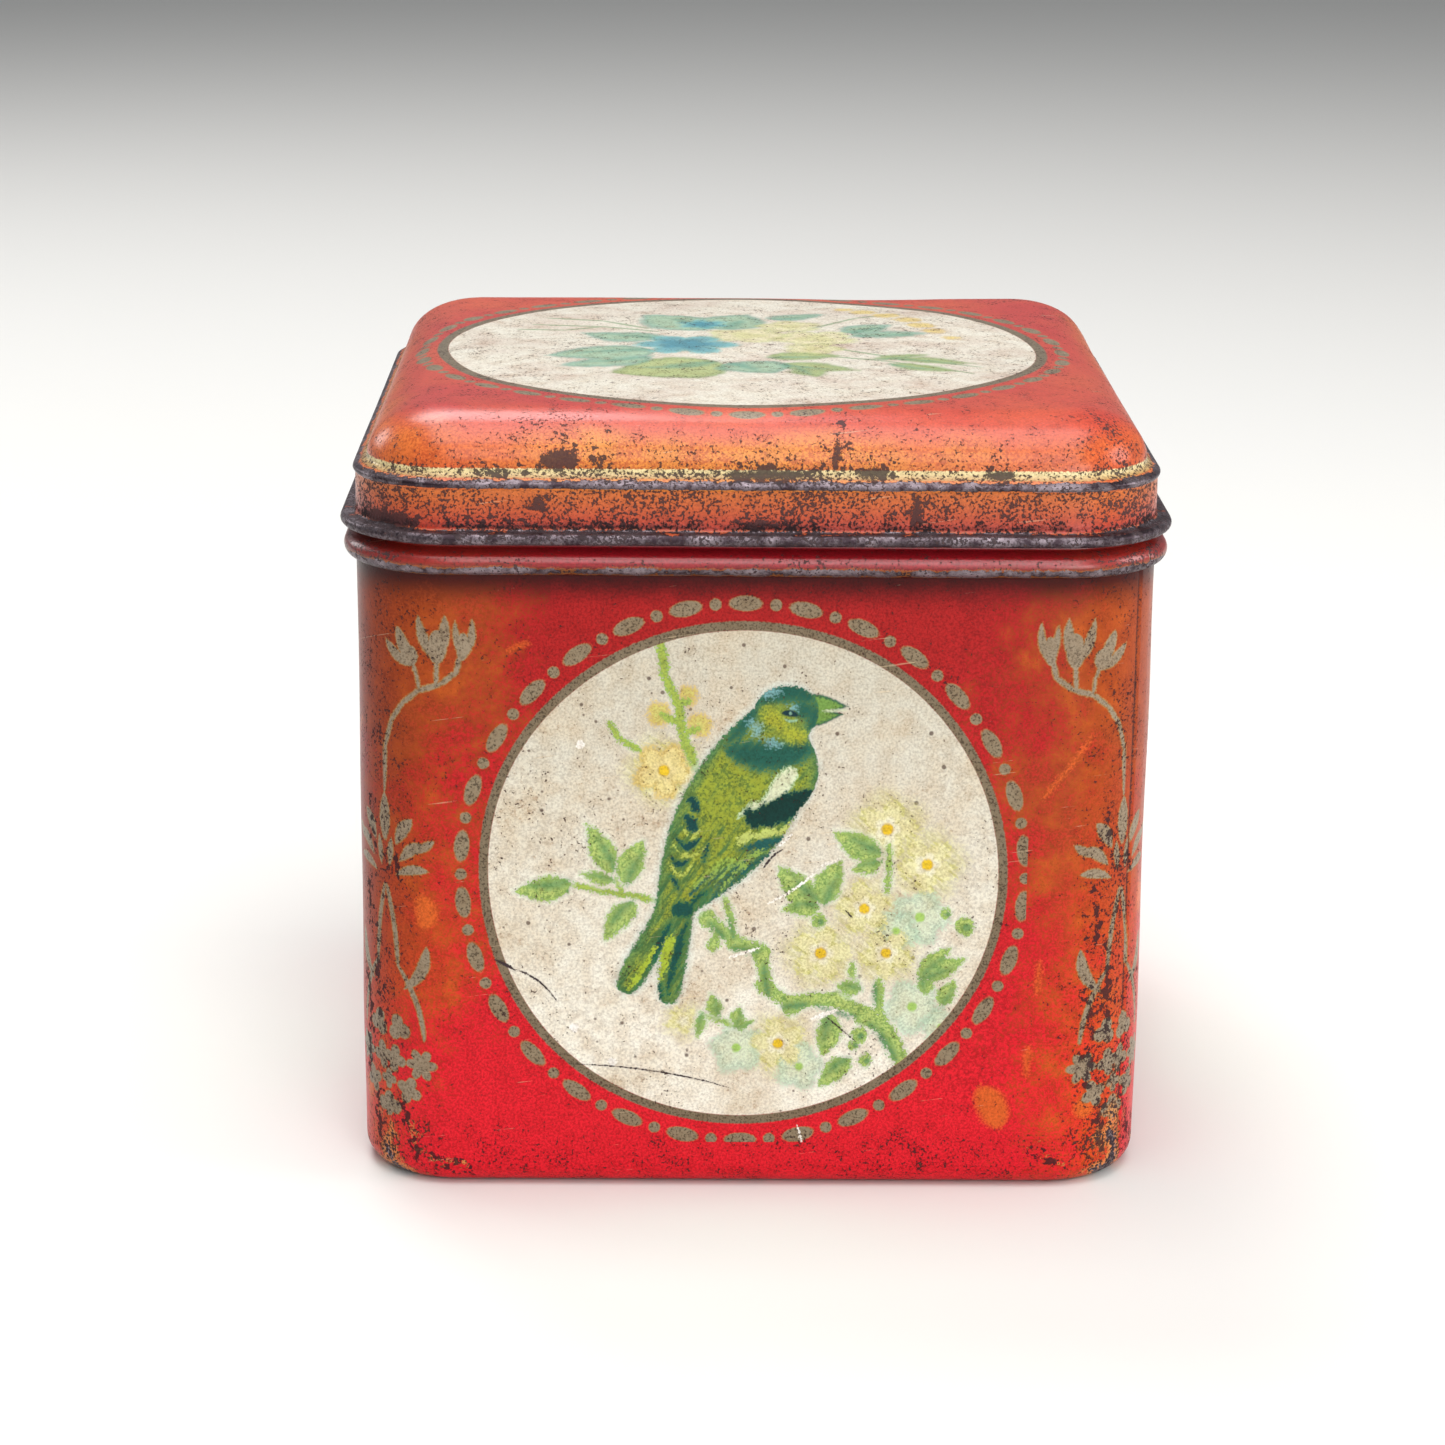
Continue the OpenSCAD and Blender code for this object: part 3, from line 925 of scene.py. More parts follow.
def paint_border(page, radius, ring, across, count, oval):
    """The band from the picture's radius to the ring's, and the beads outside it.

    The beads lie on the radius across: as many ovals as count, given by their half
    length and half width, with a round spot between each two.
    """
    g = page.g
    x = g.dot(page.place, (1.0, 0.0, -page.centre[0]))
    y = g.dot(page.place, (0.0, 1.0, -page.centre[1]))
    away = g.maths("SQRT", x * x + y * y)
    turn = g.maths("ARCTAN2", x, y) * (count / math.tau)
    spacing = math.tau * across / count
    half_long, half_wide = oval
    from_oval = (g.maths("FRACT", turn + 0.5) - 0.5) * spacing
    from_spot = (g.maths("FRACT", turn) - 0.5) * spacing
    out = away - across
    along_oval, across_oval = from_oval / half_long, out / half_wide
    from_middle = g.maths("SQRT", along_oval * along_oval + across_oval * across_oval)
    beads = (from_middle - 1.0) * half_wide
    spots = g.maths("SQRT", from_spot * from_spot + out * out) - SPOT_R
    beads = g.maths("MINIMUM", beads, spots) + page.grain * 0.2
    dull = g.mix(g.step(page.grain, 0.02, 0.16) * 0.75, ink(138, 122, 98), ink(78, 66, 50))
    gilt = g.mix(g.step(beads, 0.0, -0.1), ink(154, 122, 78), dull)
    page.lay(g.step(beads, 0.06, -0.06), gilt)
    band = abs(away - (radius + ring) / 2) - (ring - radius) / 2 + page.grain * 0.25
    page.lay(g.step(band, 0.06, -0.06), g.mix(0.3, dull, ink(70, 60, 46)))
    return away


def paint_picture(page, away, radius, cream, draw):
    """Fills the round picture with its cream ground and draws on it."""
    around = page.colour
    page.colour = cream
    draw(page)
    inside = page.g.step(away, radius + 0.05, radius - 0.05)
    page.colour = page.g.mix(inside, around, page.colour)


# ---------------------------------------------------------------- materials


def new_material(name):
    """A material with one Principled shader, and the graph to work in."""
    material = bpy.data.materials.new(name)
    material.use_nodes = True
    material.node_tree.nodes.clear()
    g = Graph(material.node_tree)
    body = g.wire("TexCoord", output=3)
    body = g.wire("VectorMath", {0: body, 3: 1 / MM}, operation="SCALE")
    return material, g, body


def close_material(g, colour, roughness, metallic, height, depth, coat, specular=0.5):
    """The shader itself: the height in steps of depth millimetres."""
    bump = g.wire("Bump", {"Strength": 1.0, "Distance": depth * MM, "Height": height})
    inputs = {
        "Base Color": colour,
        "Roughness": roughness,
        "Metallic": metallic,
        "Normal": bump,
        "Coat Weight": coat,
        "Coat Roughness": 0.12,
        "Coat IOR": 1.45,
        "Specular IOR Level": specular,
    }
    shader = g.node("BsdfPrincipled", inputs)
    g.tree.links.new(shader.outputs[0], g.node("OutputMaterial").inputs["Surface"])


def aged(g, body, printed, grain, specular, rusted):
    """Wears a printed sheet: fading, flecks, chips, scratches, grime and rust, with painted shade
    from the same channel as the grime.

    rusted is the distance to the given rust patches, or None without any.
    """
    worn, grime_and_shade, fleck = g.parts(g.wire("Attribute", attribute_name="wear", output=1))
    fine = g.noise(body, 3.2, 3.0, 0.6)
    mid = g.noise(body, 0.5, 4.0, 0.6)
    bare = worn + (fine - 0.5) * 0.5 + (mid - 0.5) * 0.9
    chipped = g.step(bare, 0.6, 0.64)
    primer = g.step(bare, 0.46, 0.54)
    patch = g.noise(body, 0.13, 3.0, 0.55)
    flecks = g.step(fine + mid * 0.4 + patch * 0.25 + fleck * 0.2, 1.04, 1.065)
    blots = g.step(mid + (fine - 0.5) * 0.35 + fleck * 0.15, 0.81, 0.83)
    spots = g.maths("MAXIMUM", flecks, blots)
    if rusted is not None:
        cluster = g.step(rusted, 1.7, -0.4) * 0.23
        pocks = g.noise(body, 1.25, 3.0, 0.55)
        spots = g.maths("MAXIMUM", spots, g.step(pocks + cluster, 0.72, 0.74))
        core = rusted + (fine - 0.5) * 2.0 + (mid - 0.5) * 2.4
        spots = g.maths("MAXIMUM", spots, g.step(core, -0.3, -0.45))
        low_chips = g.step(g.dot(body, AXIS_Z), 9.0, 5.0)
        chips = g.step(mid + (fine - 0.5) * 0.6 + cluster, 0.73, 0.76) * low_chips
        primer = g.maths("MAXIMUM", primer, chips)
    # the grime channel is real dirt on the lid, and painted shade on the wall under its bead and
    # in the gap under the lid's rim
    dirt_and_shade = g.step(grime_and_shade + (fine - 0.5) * 0.7 + (mid - 0.5) * 0.8, 0.42, 0.7)
    lie = g.turned(body, (0.11, 0.05, 0.02), (-0.4, 0.9, 3.1))
    scratch = g.step(g.noise(lie, 1.0, 2.0) + mid * 0.3, 0.87, 0.9) * 0.5
    faded = g.tint(g.step(mid, 0.42, 0.7) * 0.35, printed, ink(206, 176, 140))
    faded = g.tint(g.step(grain, -0.12, 0.2) * 0.42, faded, ink(148, 134, 128))
    steel = g.mix(g.step(mid + (fine - 0.5) * 0.4, 0.4, 0.62), ink(56, 44, 50), ink(136, 124, 130))
    rust = g.mix(g.step(fine, 0.6, 0.8), ink(44, 28, 32), ink(84, 50, 42))
    colour = g.mix(scratch, faded, g.mix(0.5, faded, ink(232, 206, 166)))
    low_down = g.step(g.dot(body, AXIS_Z), BEAD_Z - 3.0, BEAD_Z - 6.0)
    colour = g.mix(primer * (low_down * 0.5 + 0.25), colour, ink(212, 140, 74))
    colour = g.mix(chipped, colour, steel)
    colour = g.mix(spots * 0.9, colour, rust)
    # near-black dirt, and painted shade on the wall
    colour = g.mix(dirt_and_shade * 0.9, colour, ink(34, 20, 24))
    rough = 0.26 + fine * 0.12 + chipped * 0.08 + spots * 0.35 + dirt_and_shade * 0.3
    metallic = chipped * (1.0 - spots) * (1.0 - dirt_and_shade) * 0.85
    coat = (1.0 - chipped) * (1.0 - spots) * (1.0 - dirt_and_shade) * 0.1
    height = fine * 0.15 - chipped * 0.7 - scratch * 0.5 + spots * (0.4 + fine) + dirt_and_shade * fine * 1.5
    close_material(g, colour, rough, metallic, height, 0.06, coat, specular)


def grain_of(g, body):
    """The stipple of the printing screen, about zero."""
    return g.noise(body, 3.9, 1.0, 0.7) - 0.5


def cream_ground(g, body, clean, stained):
    """The pale ground of a picture, with brown foxing."""
    broad = g.noise(body, 0.16, 4.0, 0.6)
    small = g.noise(body, 1.4, 5.0, 0.75)
    ground = g.mix(g.step(broad, 0.42, 0.7) * 0.7, clean, stained)
    foxing = g.step(small + broad * 0.5, 0.86, 0.95)
    ground = g.mix(foxing * 0.5, ground, ink(164, 130, 98))
    pits = g.specks(body, 0.75, 0.2, 0.5)
    return g.mix(pits * 0.8, ground, ink(84, 62, 54))


def wall_ground(g, body, place, cloud, grain):
    """Red, darker towards the bead with painted shade under it, faded to orange down the corners,
    and with painted shade down the tin's left side.
    """
    s, z, _ = g.parts(place)
    blotch = g.noise(body, 0.33, 4.0, 0.65)
    edge = abs(s) + (cloud - 0.5) * 26.0 + z * 0.08 + (blotch - 0.5) * 16.0 + grain * 14.0
    red_foot = g.step(z, 26.0, 10.0) * g.step(s, -22.0, -32.0)
    faded = g.ease(edge - red_foot * 7.0, 26.0, 38.0)
    # the red darkens towards the top of the wall, partly painted shade from the bead and lid above
    # it; the orange darkens upward too
    red = g.mix(g.step(z + grain * 20.0, 8.0, 56.0), ink(220, 24, 40), ink(170, 26, 26))
    orange = g.mix(g.step(z + cloud * 30.0, 26.0, 60.0), ink(212, 66, 24), ink(164, 68, 22))
    orange = g.mix(g.step(blotch + grain * 0.8, 0.5, 0.72) * 0.7, orange, ink(206, 98, 26))
    ground = g.mix(faded, red, orange)
    # painted shade: the last few millimetres under the bead are tinted dark purple-red
    shade_under_bead = g.ease(z + (blotch - 0.5) * 2.0, BEAD_Z - 5.0, BEAD_Z - 1.2)
    above = g.step(z, BEAD_Z - 0.5, BEAD_Z + 0.3)
    shade_under_bead = shade_under_bead * (1.0 - above)
    ground = g.mix(above * 0.75, ground, ink(158, 24, 38))
    ground = g.tint(shade_under_bead * 0.97, ground, ink(92, 20, 44))
    ground = g.tint(g.step(grain, -0.08, 0.2) * 0.35, ground, ink(190, 110, 110))
    # painted shade: the tin's left side is tinted darker and browner, fading out towards the foot
    shaded_left_side = g.step(g.dot(body, AXIS_X), -32.0, -41.0) * g.step(z, 4.0, 34.0)
    return g.tint(shaded_left_side * 0.7, ground, ink(176, 116, 84))


# rust patches down the front corners and along the foot, as (s, z)
WALL_RUST = blades(
    (34.5, 31.8, 35, 26, 0.3), (33.9, 21.6, 34.7, 15, 0.4, 0.2), (34.6, 15.6, 34, 9.6, 0.45),
    (36.3, 26.5, 36.5, 16, 0.4), (35.8, 9.6, 36.4, 3, 0.5), (28.5, 3.7, 32.5, 2.3, 0.3),
    (-33, 3.2, -29, 2.3, 0.4), (-36.2, 8.6, -34.2, 3.4, 0.4), (35.6, 40.6, 35.9, 35.2, 0.3),
    (-36.6, 35, -36, 32.4, 0.3),
)
STAINS = blades(
    (23.3, 11, 25.4, 6.6, 1.5, 0.2), (33.6, 9.6, 34.3, 7.4, 1), (28.6, 41.9, 33.2, 47.9, 0.1),
    (28.8, 24.4, 28.7, 21.3, 0.18), (28, 15.4, 27.9, 12.3, 0.2),
    (-24.5, 56.5, -22.6, 57.4, 0.12), (-33.4, 31, -33.1, 27.6, 1.1, 0.3),
)
SCRATCHES = blades(
    (-25, -9, -22.8, -10.2, 0.16, 0.1), (-22.9, -10, -18.6, -13.3, 0.1, 0.5),
    (-17, -20, -1, -22.6, 0.08, 0.7), (2, 0.9, 4, 3, 0.11, 0.2), (10.3, -3.4, 11, -4.2, 0.1),
    (8.6, -15, 11.6, -17.6, 0.08),
)
WHITE_SCRATCHES = blades(
    (3.4, 3.2, 5, 4.6, 0.13), (2.4, -2.9, 7.6, 1, 0.12, -0.3), (7.6, 1.2, 9.9, 2.1, 0.1),
    (-1.4, -8.6, 1.6, -7.6, 0.16), (7, -15.2, 9.6, -14.2, 0.22),
    (-17, -15.6, -16.6, -16.5, 0.45), (-13.3, -19.3, -12.6, -20, 0.4),
    (-16.6, 13.4, -15.9, 14, 0.4), (5.8, -26.6, 6.5, -31.4, 0.13, 0.2),
)


def mark_front(page, body):
    """Stains and the lock seam's line, and the distance to the front's rust patches."""
    g = page.g
    in_front = g.step(g.dot(body, AXIS_Y), -27.0, -28.0)
    at_right = g.step(g.dot(body, AXIS_X), 30.0, 31.0)
    page.paint(STAINS, ink(214, 98, 34), soft=0.4, grit=1.2, strength=0.9, inside=in_front)
    seam = blades((SEAM_S, 1.5, SEAM_S, BEAD_Z - 2.0, 0.24, 0.0, 0.1))
    page.paint(seam, ink(48, 28, 26), grit=0.8, strength=0.9, inside=in_front * at_right)
    patches = page.near(WALL_RUST, 2.4)
    return page.distance(patches) + (1.0 - in_front) * FAR if patches else None


def wall_picture(page, body):
    """The songbird in its ring of beads, scratched on the front."""
    g = page.g
    ring = PICTURE_R + RING_W
    away = paint_border(page, PICTURE_R, ring, BEADS_R, 30, (1.65, 0.78))
    # painted shade: the cream ground darkens towards the top of the picture, under the bead and
    # lid
    height = g.step(g.dot(page.place, AXIS_Y), 14.0, 56.0)
    clean = g.mix(height, ink(238, 233, 218), ink(204, 198, 180))
    cream = cream_ground(g, body, clean, ink(210, 194, 166))
    paint_picture(page, away, PICTURE_R, cream, paint_songbird)
    front = g.step(g.dot(body, AXIS_Y), -38.0, -39.0)
    page.paint(WHITE_SCRATCHES, ink(240, 236, 228), soft=0.06, grit=0.6, inside=front)
    page.paint(SCRATCHES, ink(58, 44, 48), soft=0.05, grit=0.4, inside=front)


def wall_corner(page, body):
    """The gilt ornament, mirrored about each corner of the tin."""
    g = page.g
    s, z, _ = g.parts(page.place)
    folded = g.wire("CombineXYZ", {0: QUARTER - abs(s), 1: z, 2: 1.0})
    low, high = page.bounds[1], page.bounds[3]
    strip = (-1.0, low, CORNER_REACH, high)
    edge_page = Page(g, folded, strip, (0.0, 0.0), page.colour, page.grain)
    on_face = g.step(abs(g.dot(body, AXIS_Y)), 36.9, 37.1)
    paint_corner(edge_page, on_face)
    page.colour = edge_page.colour


def wall_tile(name, bounds, picture, corner):
    """One part of the wall's print, with only the shapes that reach into it."""
    material, g, body = new_material(name)
    place = g.wire("Attribute", attribute_name="print", output=1)
    grain = grain_of(g, body)
    cloud = g.noise(body, 0.055, 3.0, 0.55)
    ground = wall_ground(g, body, place, cloud, grain)
    whole_wall = Page(g, place, bounds, (0.0, 0.0), ground, grain)
    rusted = mark_front(whole_wall, body)
    page = Page(g, place, bounds, (PICTURE_X, PICTURE_Z), whole_wall.colour, grain)
    if picture:
        wall_picture(page, body)
    if corner:
        wall_corner(page, body)
    specular = g.step(g.dot(place, AXIS_Y), BEAD_Z - 0.4, BEAD_Z + 0.3) * 0.6 + 0.12
    aged(g, body, page.colour, grain, specular, rusted)
    return material


# rust blisters and drips on the front of the lid, as (x, z)
LEDGE_RUST = blades(
    (-21.4, 75.1, -17.4, 75.5, 1.25, 0.3), (-16.2, 75, -14.4, 75.3, 0.95),
    (-27, 74.3, -23, 74.3, 0.3), (-3.5, 74.2, 5.5, 74.2, 0.75), (9.4, 74.5, 12.8, 74.5, 0.8),
    (7.4, 74.4, 7.8, 78.4, 0.65), (22, 74.3, 25, 74.3, 0.6), (-22.7, 71.2, -20.4, 71.6, 0.9),
    (15.2, 68.8, 15.5, 72.8, 0.6), (-2.5, 69.6, 3, 69.4, 0.6), (-39, 69.4, -33, 69.4, 0.9),
    (-30, 69.2, -12, 69.2, 0.3),
)


def lid_tile(name, bounds, picture):
    """One part of the lid's print."""
    material, g, body = new_material(name)
    place = g.wire("Attribute", attribute_name="print", output=1)
    grain = grain_of(g, body)
    cloud = g.noise(body, 0.055, 3.0, 0.55)
    x, y, z = g.parts(body)
    low = z + (cloud - 0.5) * 5.0
    red = g.mix(g.step(cloud, 0.35, 0.65), ink(190, 58, 52), ink(204, 84, 54))
    to_sides = g.step(abs(x) + (cloud - 0.5) * 50, 14.0, 44.0)
    orange = g.mix(to_sides, ink(220, 134, 52), ink(206, 80, 46))
    blotch = g.noise(body, 0.33, 4.0, 0.65)
    orange = g.mix(g.step(blotch + grain, 0.42, 0.66) * 0.55, orange, ink(196, 76, 40))
    ground = g.mix(g.ease(low, TOTAL_H - 0.7, TOTAL_H - 3.0), red, orange)
    skirt = g.mix(g.step(z, RIM_Z + 1.2, RIDGE_Z), ink(184, 56, 34), ink(206, 110, 38))
    ground = g.mix(g.step(z, RIDGE_Z - 0.3, RIDGE_Z - 0.5), ground, skirt)
    stripe = abs(z - (RIDGE_Z + 1.05)) - 0.42 + grain * 0.3
    gilt = g.mix(g.step(z, RIDGE_Z + 0.6, RIDGE_Z + 1.2), ink(176, 126, 64), ink(236, 218, 162))
    ground = g.mix(g.step(stripe, 0.05, -0.05), ground, gilt)
    page = Page(g, place, bounds, (PICTURE_X, 0.0), ground, grain)
    if picture:
        ring = LID_PICTURE_R + LID_RING_W
        away = paint_border(page, LID_PICTURE_R, ring, LID_BEADS_R, 36, (1.8, 0.8))
        cream = cream_ground(g, body, ink(228, 222, 206), ink(206, 184, 168))
        paint_picture(page, away, LID_PICTURE_R, cream, paint_bouquet)
    upright = g.wire("CombineXYZ", {0: x, 1: z, 2: 1.0})
    rust_page = Page(g, upright, EVERYWHERE, (0.0, 0.0), page.colour, grain)
    rusted = rust_page.distance(LEDGE_RUST) + g.step(y, -34.0, -30.0) * FAR
    aged(g, body, page.colour, grain, 0.4, rusted)
    return material


def bare_tin(name, light, dark, rust_share):
    """Unprinted tinplate: spangled, dulled and rusting in patches."""
    material, g, body = new_material(name)
    fine = g.noise(body, 1.8, 4.0, 0.6)
    patch = g.noise(body, 0.12, 4.0, 0.6)
    stretched = g.wire("VectorMath", {0: body, 1: (0.3, 0.3, 6.0)}, operation="MULTIPLY")
    draw_lines = g.noise(stretched, 0.6, 3.0)
    rusty = g.step(patch + (fine - 0.5) * 0.5, 1.0 - rust_share, 1.12 - rust_share)
    spots = g.specks(body, 0.7, 0.3, 0.18)
    tin = g.mix(fine * 0.6 + draw_lines * 0.4, dark, light)
    colour = g.mix(rusty * 0.8, tin, g.mix(fine, ink(70, 42, 28), ink(134, 82, 48)))
    colour = g.mix(spots * 0.7, colour, ink(66, 44, 34))
    rough = 0.32 + fine * 0.16 + rusty * 0.35 + spots * 0.2
    metallic = (1.0 - rusty * 0.9) * (1.0 - spots * 0.7)
    height = fine * 0.3 + draw_lines * 0.4 + rusty * fine * 1.5
    close_material(g, colour, rough, metallic, height, 0.04, 0.0)
    return material


# each sheet's print is cut into tiles, so that a material holds only a few shapes
GRID = 4
TILE = 14.8
GRID_X = PICTURE_X - GRID * TILE / 2
GRID_Z = PICTURE_Z - GRID * TILE / 2
CORNER_TILE = 13
CORNER_S = 25.5
CORNER_LOW_Z = 5.5
CORNER_HIGH_Z = 63
LID_GRID = 2
LID_TILE = 36.5
LID_TOP_H = 3.2
SLACK = 1.6
MADE = {}


def wall_kind(s, z, height, outside):
    """The name of the material for a place on the wall."""
    if not outside:
        return "inside_wall"
    column, row = math.floor((s - GRID_X) / TILE), math.floor((z - GRID_Z) / TILE)
    if 0 <= column < GRID and 0 <= row < GRID:
        return f"wall_{column}_{row}"
    if abs(s) > CORNER_S and CORNER_LOW_Z < z < CORNER_HIGH_Z:
        return f"corner_{math.floor(z / CORNER_TILE)}"
    return "wall_plain"


def lid_kind(x, y, height, outside):
    """The name of the material for a place on the lid."""
    if not outside:
        return "inside_lid"
    if height > TOTAL_H - LID_TOP_H:
        column = math.floor((x - PICTURE_X) / LID_TILE + LID_GRID / 2)
        row = math.floor(y / LID_TILE + LID_GRID / 2)
        if 0 <= column < LID_GRID and 0 <= row < LID_GRID:
            return f"lid_{column}_{row}"
    return "lid_plain"


def panel_kind(*place):
    """The bottom panel is bare all over."""
    return "bare_panel"


def square_bounds(x, y, size):
    """A square tile with a little slack round it."""
    return (x - SLACK, y - SLACK, x + size + SLACK, y + size + SLACK)


def make_material(kind):
    """The material that a name asks for, such as wall_0_2 or lid_plain."""
    family, *place = kind.split("_")
    if family == "inside":
        return bare_tin(kind, ink(186, 176, 156), ink(150, 138, 120), 0.3)
    if family == "bare":
        return bare_tin(kind, ink(176, 166, 148), ink(132, 120, 106), 0.42)
    if kind == "wall_plain":
        return wall_tile(kind, EVERYWHERE, False, False)
    if kind == "lid_plain":
        return lid_tile(kind, EVERYWHERE, False)
    if family == "corner":
        low = int(place[0]) * CORNER_TILE
        bounds = (-40.0, low - SLACK, 40.0, low + CORNER_TILE + SLACK)
        return wall_tile(kind, bounds, False, True)
    column, row = int(place[0]), int(place[1])
    if family == "wall":
        bounds = square_bounds(GRID_X + column * TILE, GRID_Z + row * TILE, TILE)
        return wall_tile(kind, bounds, True, column in (0, GRID - 1))
    x = PICTURE_X + (column - LID_GRID / 2) * LID_TILE
    y = (row - LID_GRID / 2) * LID_TILE
    return lid_tile(kind, square_bounds(x, y, LID_TILE), True)


def material_for(kind):
    """Makes each material once, when a piece first asks for it."""
    if kind not in MADE:
        MADE[kind] = make_material(kind)
    return MADE[kind]


# ------------------------------------------------------------------- pieces


def reach(p):
    """How far a point is from the corner axes, and how near a corner's middle."""
    over_x, over_y = max(abs(p.x) - CORE, 0.0), max(abs(p.y) - CORE, 0.0)
    corner = min(over_x, over_y) / max(over_x, over_y, 0.1)
    return math.hypot(over_x, over_y), corner


def hump(value, middle, width):
    """1 at the middle, falling off smoothly to both sides."""
    return math.exp(-((value - middle) / width) ** 2)


def clamp(value):
    """The value kept between 0 and 1."""
    return min(max(value, 0.0), 1.0)


def wall_wear_and_shade(p):
    """How bare and flecked the wall is at a point, and where painted shade darkens it."""
    u, corner = reach(p)
    crest = clamp((u - WALL_U) * 1.6)
    bare = 0.8 * hump(p.z, BEAD_Z - 0.6, 0.7) * crest + 0.14 * corner
    bare += 0.24 * hump(p.z, 0.3, 1.5) + 0.44 * corner * hump(p.z, 3.0, 5.5)
    bare += 0.35 * hump(p.z, MOUTH_Z, 1.2)
    # painted shade: a dark line just under the bead, and darkening in the gap under the lid's rim
    grime_and_shade = 0.4 * hump(p.z, BEAD_Z - 1.5, 0.4) + 0.3 * hump(p.z, BEAD_Z + 2.6, 0.9)
    fleck = 0.1 + 0.45 * corner + 0.45 * hump(p.z, 3.0, 3.5) + 0.3 * crest
    if p.y < 0:
        fleck += 0.3 * hump(p.x, 36.0, 3.5) * hump(p.z, 16.0, 13.0)
        bare += 0.25 * hump(p.x, 36.5, 3.0) * hump(p.z, 14.0, 12.0)
    return bare, grime_and_shade, fleck


def lid_wear(p):
    """How bare, grimy and flecked the lid is at a point."""
    u, corner = reach(p)
    out = clamp((u - CORNER_R + 0.5) * 3.0)
    bare = 0.95 * hump(p.z, RIDGE_Z + 0.05, 0.5) * out
    bare += 1.1 * hump(p.z, RIM_Z, 0.95) + 0.12 * corner
    bare += 0.22 * hump(p.z, RIDGE_Z + 0.7, 0.6)
    grime_and_shade = 0.75 * hump(p.z, RIM_Z + 1.3, 0.7) + 0.15 * hump(p.z, RIDGE_Z + 0.75, 0.3)
    side = clamp((TOTAL_H - p.z) / 2.0)
    fleck = 0.38 + 0.12 * side + 0.4 * (p.z < RIDGE_Z - 0.3) + 0.15 * corner
    fleck += 0.4 * hump(p.z, RIDGE_Z + 1.0, 0.8)
    return bare, grime_and_shade, fleck


def panel_wear(p):
    """The bottom panel wears alike all over."""
    return 0.5, 0.2, 0.3


def wavy(p, amount, size):
    """A small smooth push, for sheet that is not quite flat."""
    return noise.noise_vector(p / size) * amount


def wall_shape(p):
    """The wall waves most between its foot and its bead, and never dips into the floor."""
    free = (1 - reach(p)[1]) * clamp((p.z - 4) / 12) * clamp((BEAD_Z - p.z) / 12)
    moved = p + wavy(p, 0.32 * free + 0.04, 21.0)
    moved.z = max(moved.z, 0.0)
    return moved


def lid_shape(p):
    """The lid's top is slightly crowned, and it waves more than the skirt."""
    middle = 1 - min(max(abs(p.x), abs(p.y)) / (CORE + 4), 1)
    crown = Vector((0, 0, 0.35 * middle)) if p.z > TOTAL_H - 1 else Vector()
    top = clamp((p.z - RIDGE_Z) / 5)
    aside = Vector((40, 0, 0))
    return p + crown + wavy(p + aside, 0.22 * top + 0.04, 18.0)


def panel_shape(p):
    """The bottom panel is slightly domed inward."""
    middle = 1 - min(max(abs(p.x), abs(p.y)) / CORE, 1)
    return p + Vector((0, 0, 0.25 * middle)) + wavy(p, 0.05, 15.0)


def columns_with_seam():
    """Places along the right side, closer together about the lock seam."""
    near = [-SEAM_HALF - 0.2, -SEAM_HALF, -0.5, -0.14, 0.14, 0.5, SEAM_HALF, SEAM_HALF + 0.2]
    extra = [SEAM_S + n for n in near if SEAM_S + n > -QUARTER]
    return sorted(side_samples() + extra)


def wall_offset(side, s, u, z, outside):
    """u with the groove of the lock seam outside and its folded thickness inside."""
    if side == 0 and s > QUARTER - SEAM_HALF:
        away = s - 2 * QUARTER - SEAM_S
    elif side == 1:
        away = s - SEAM_S
    else:
        return u
    if outside and u > WALL_U - 0.1 and abs(away) < 0.2 and z > 3.1:
        return u - SEAM_GROOVE - 0.25 * (z > BEAD_Z - 1)
    if not outside and WALL_U - 0.3 < u < WALL_U and abs(away) <= SEAM_HALF + 0.01:
        return u - 2 * SHEET_T if 3.5 < z < BEAD_Z - 2 else u
    return u


def section(path, outside_right):
    """Both faces of the sheet as one run of (u, z, outside)."""
    left, right = faces_of_sheet(path)
    first = [(float(u), float(z), outside_right) for u, z in right]
    second = [(float(u), float(z), not outside_right) for u, z in left[::-1]]
    return first + second


def make_wall():
    """The wall's one strip of sheet, both faces and both edges."""
    sheet = Sheet()
    outline = section(wall_path(), True)
    columns = [side_samples(), columns_with_seam(), side_samples(), side_samples()]
    sheet.sweep(outline + outline[:1], wall_kind, columns, False, wall_offset)
    wall = sheet.build("wall_shell", wall_shape, wall_wear_and_shade, material_for)
    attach(wall, "tin")
    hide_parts("body_wall")


def make_lid():
    """The lid's one pressing: its swept side, and its flat top inside and out."""
    sheet = Sheet()
    outline = section(lid_path(), False)
    sheet.sweep(outline, lid_kind, [side_samples()] * 4, True)
    lines = flat_lines()
    sheet.plate(TOTAL_H, lines, lid_kind, True, True)
    sheet.plate(TOTAL_H - SHEET_T, lines, lid_kind, False, False)
    lid = sheet.build("lid_shell", lid_shape, lid_wear, material_for)
    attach(lid, "cover")
    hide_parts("lid")


def make_panel():
    """The bottom panel with its hook over the wall's flange."""
    sheet = Sheet()
    outline = section(panel_path(), True)
    sheet.sweep(outline, panel_kind, [side_samples()] * 4, True)
    lines = flat_lines()
    sheet.plate(PANEL_Z + HALF_T, lines, panel_kind, False, True)
    sheet.plate(PANEL_Z - HALF_T, lines, panel_kind, True, False)
    panel = sheet.build("bottom_plate", panel_shape, panel_wear, material_for)
    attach(panel, "tin")
    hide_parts("bottom_panel")


# ------------------------------------------------------- camera, light, floor


CAMERA_TURN = (-0.73, 15.98, 0.52)
CAMERA_TARGET = (-2.81, 0.0, 38.0)
CAMERA_DISTANCE = 408.4


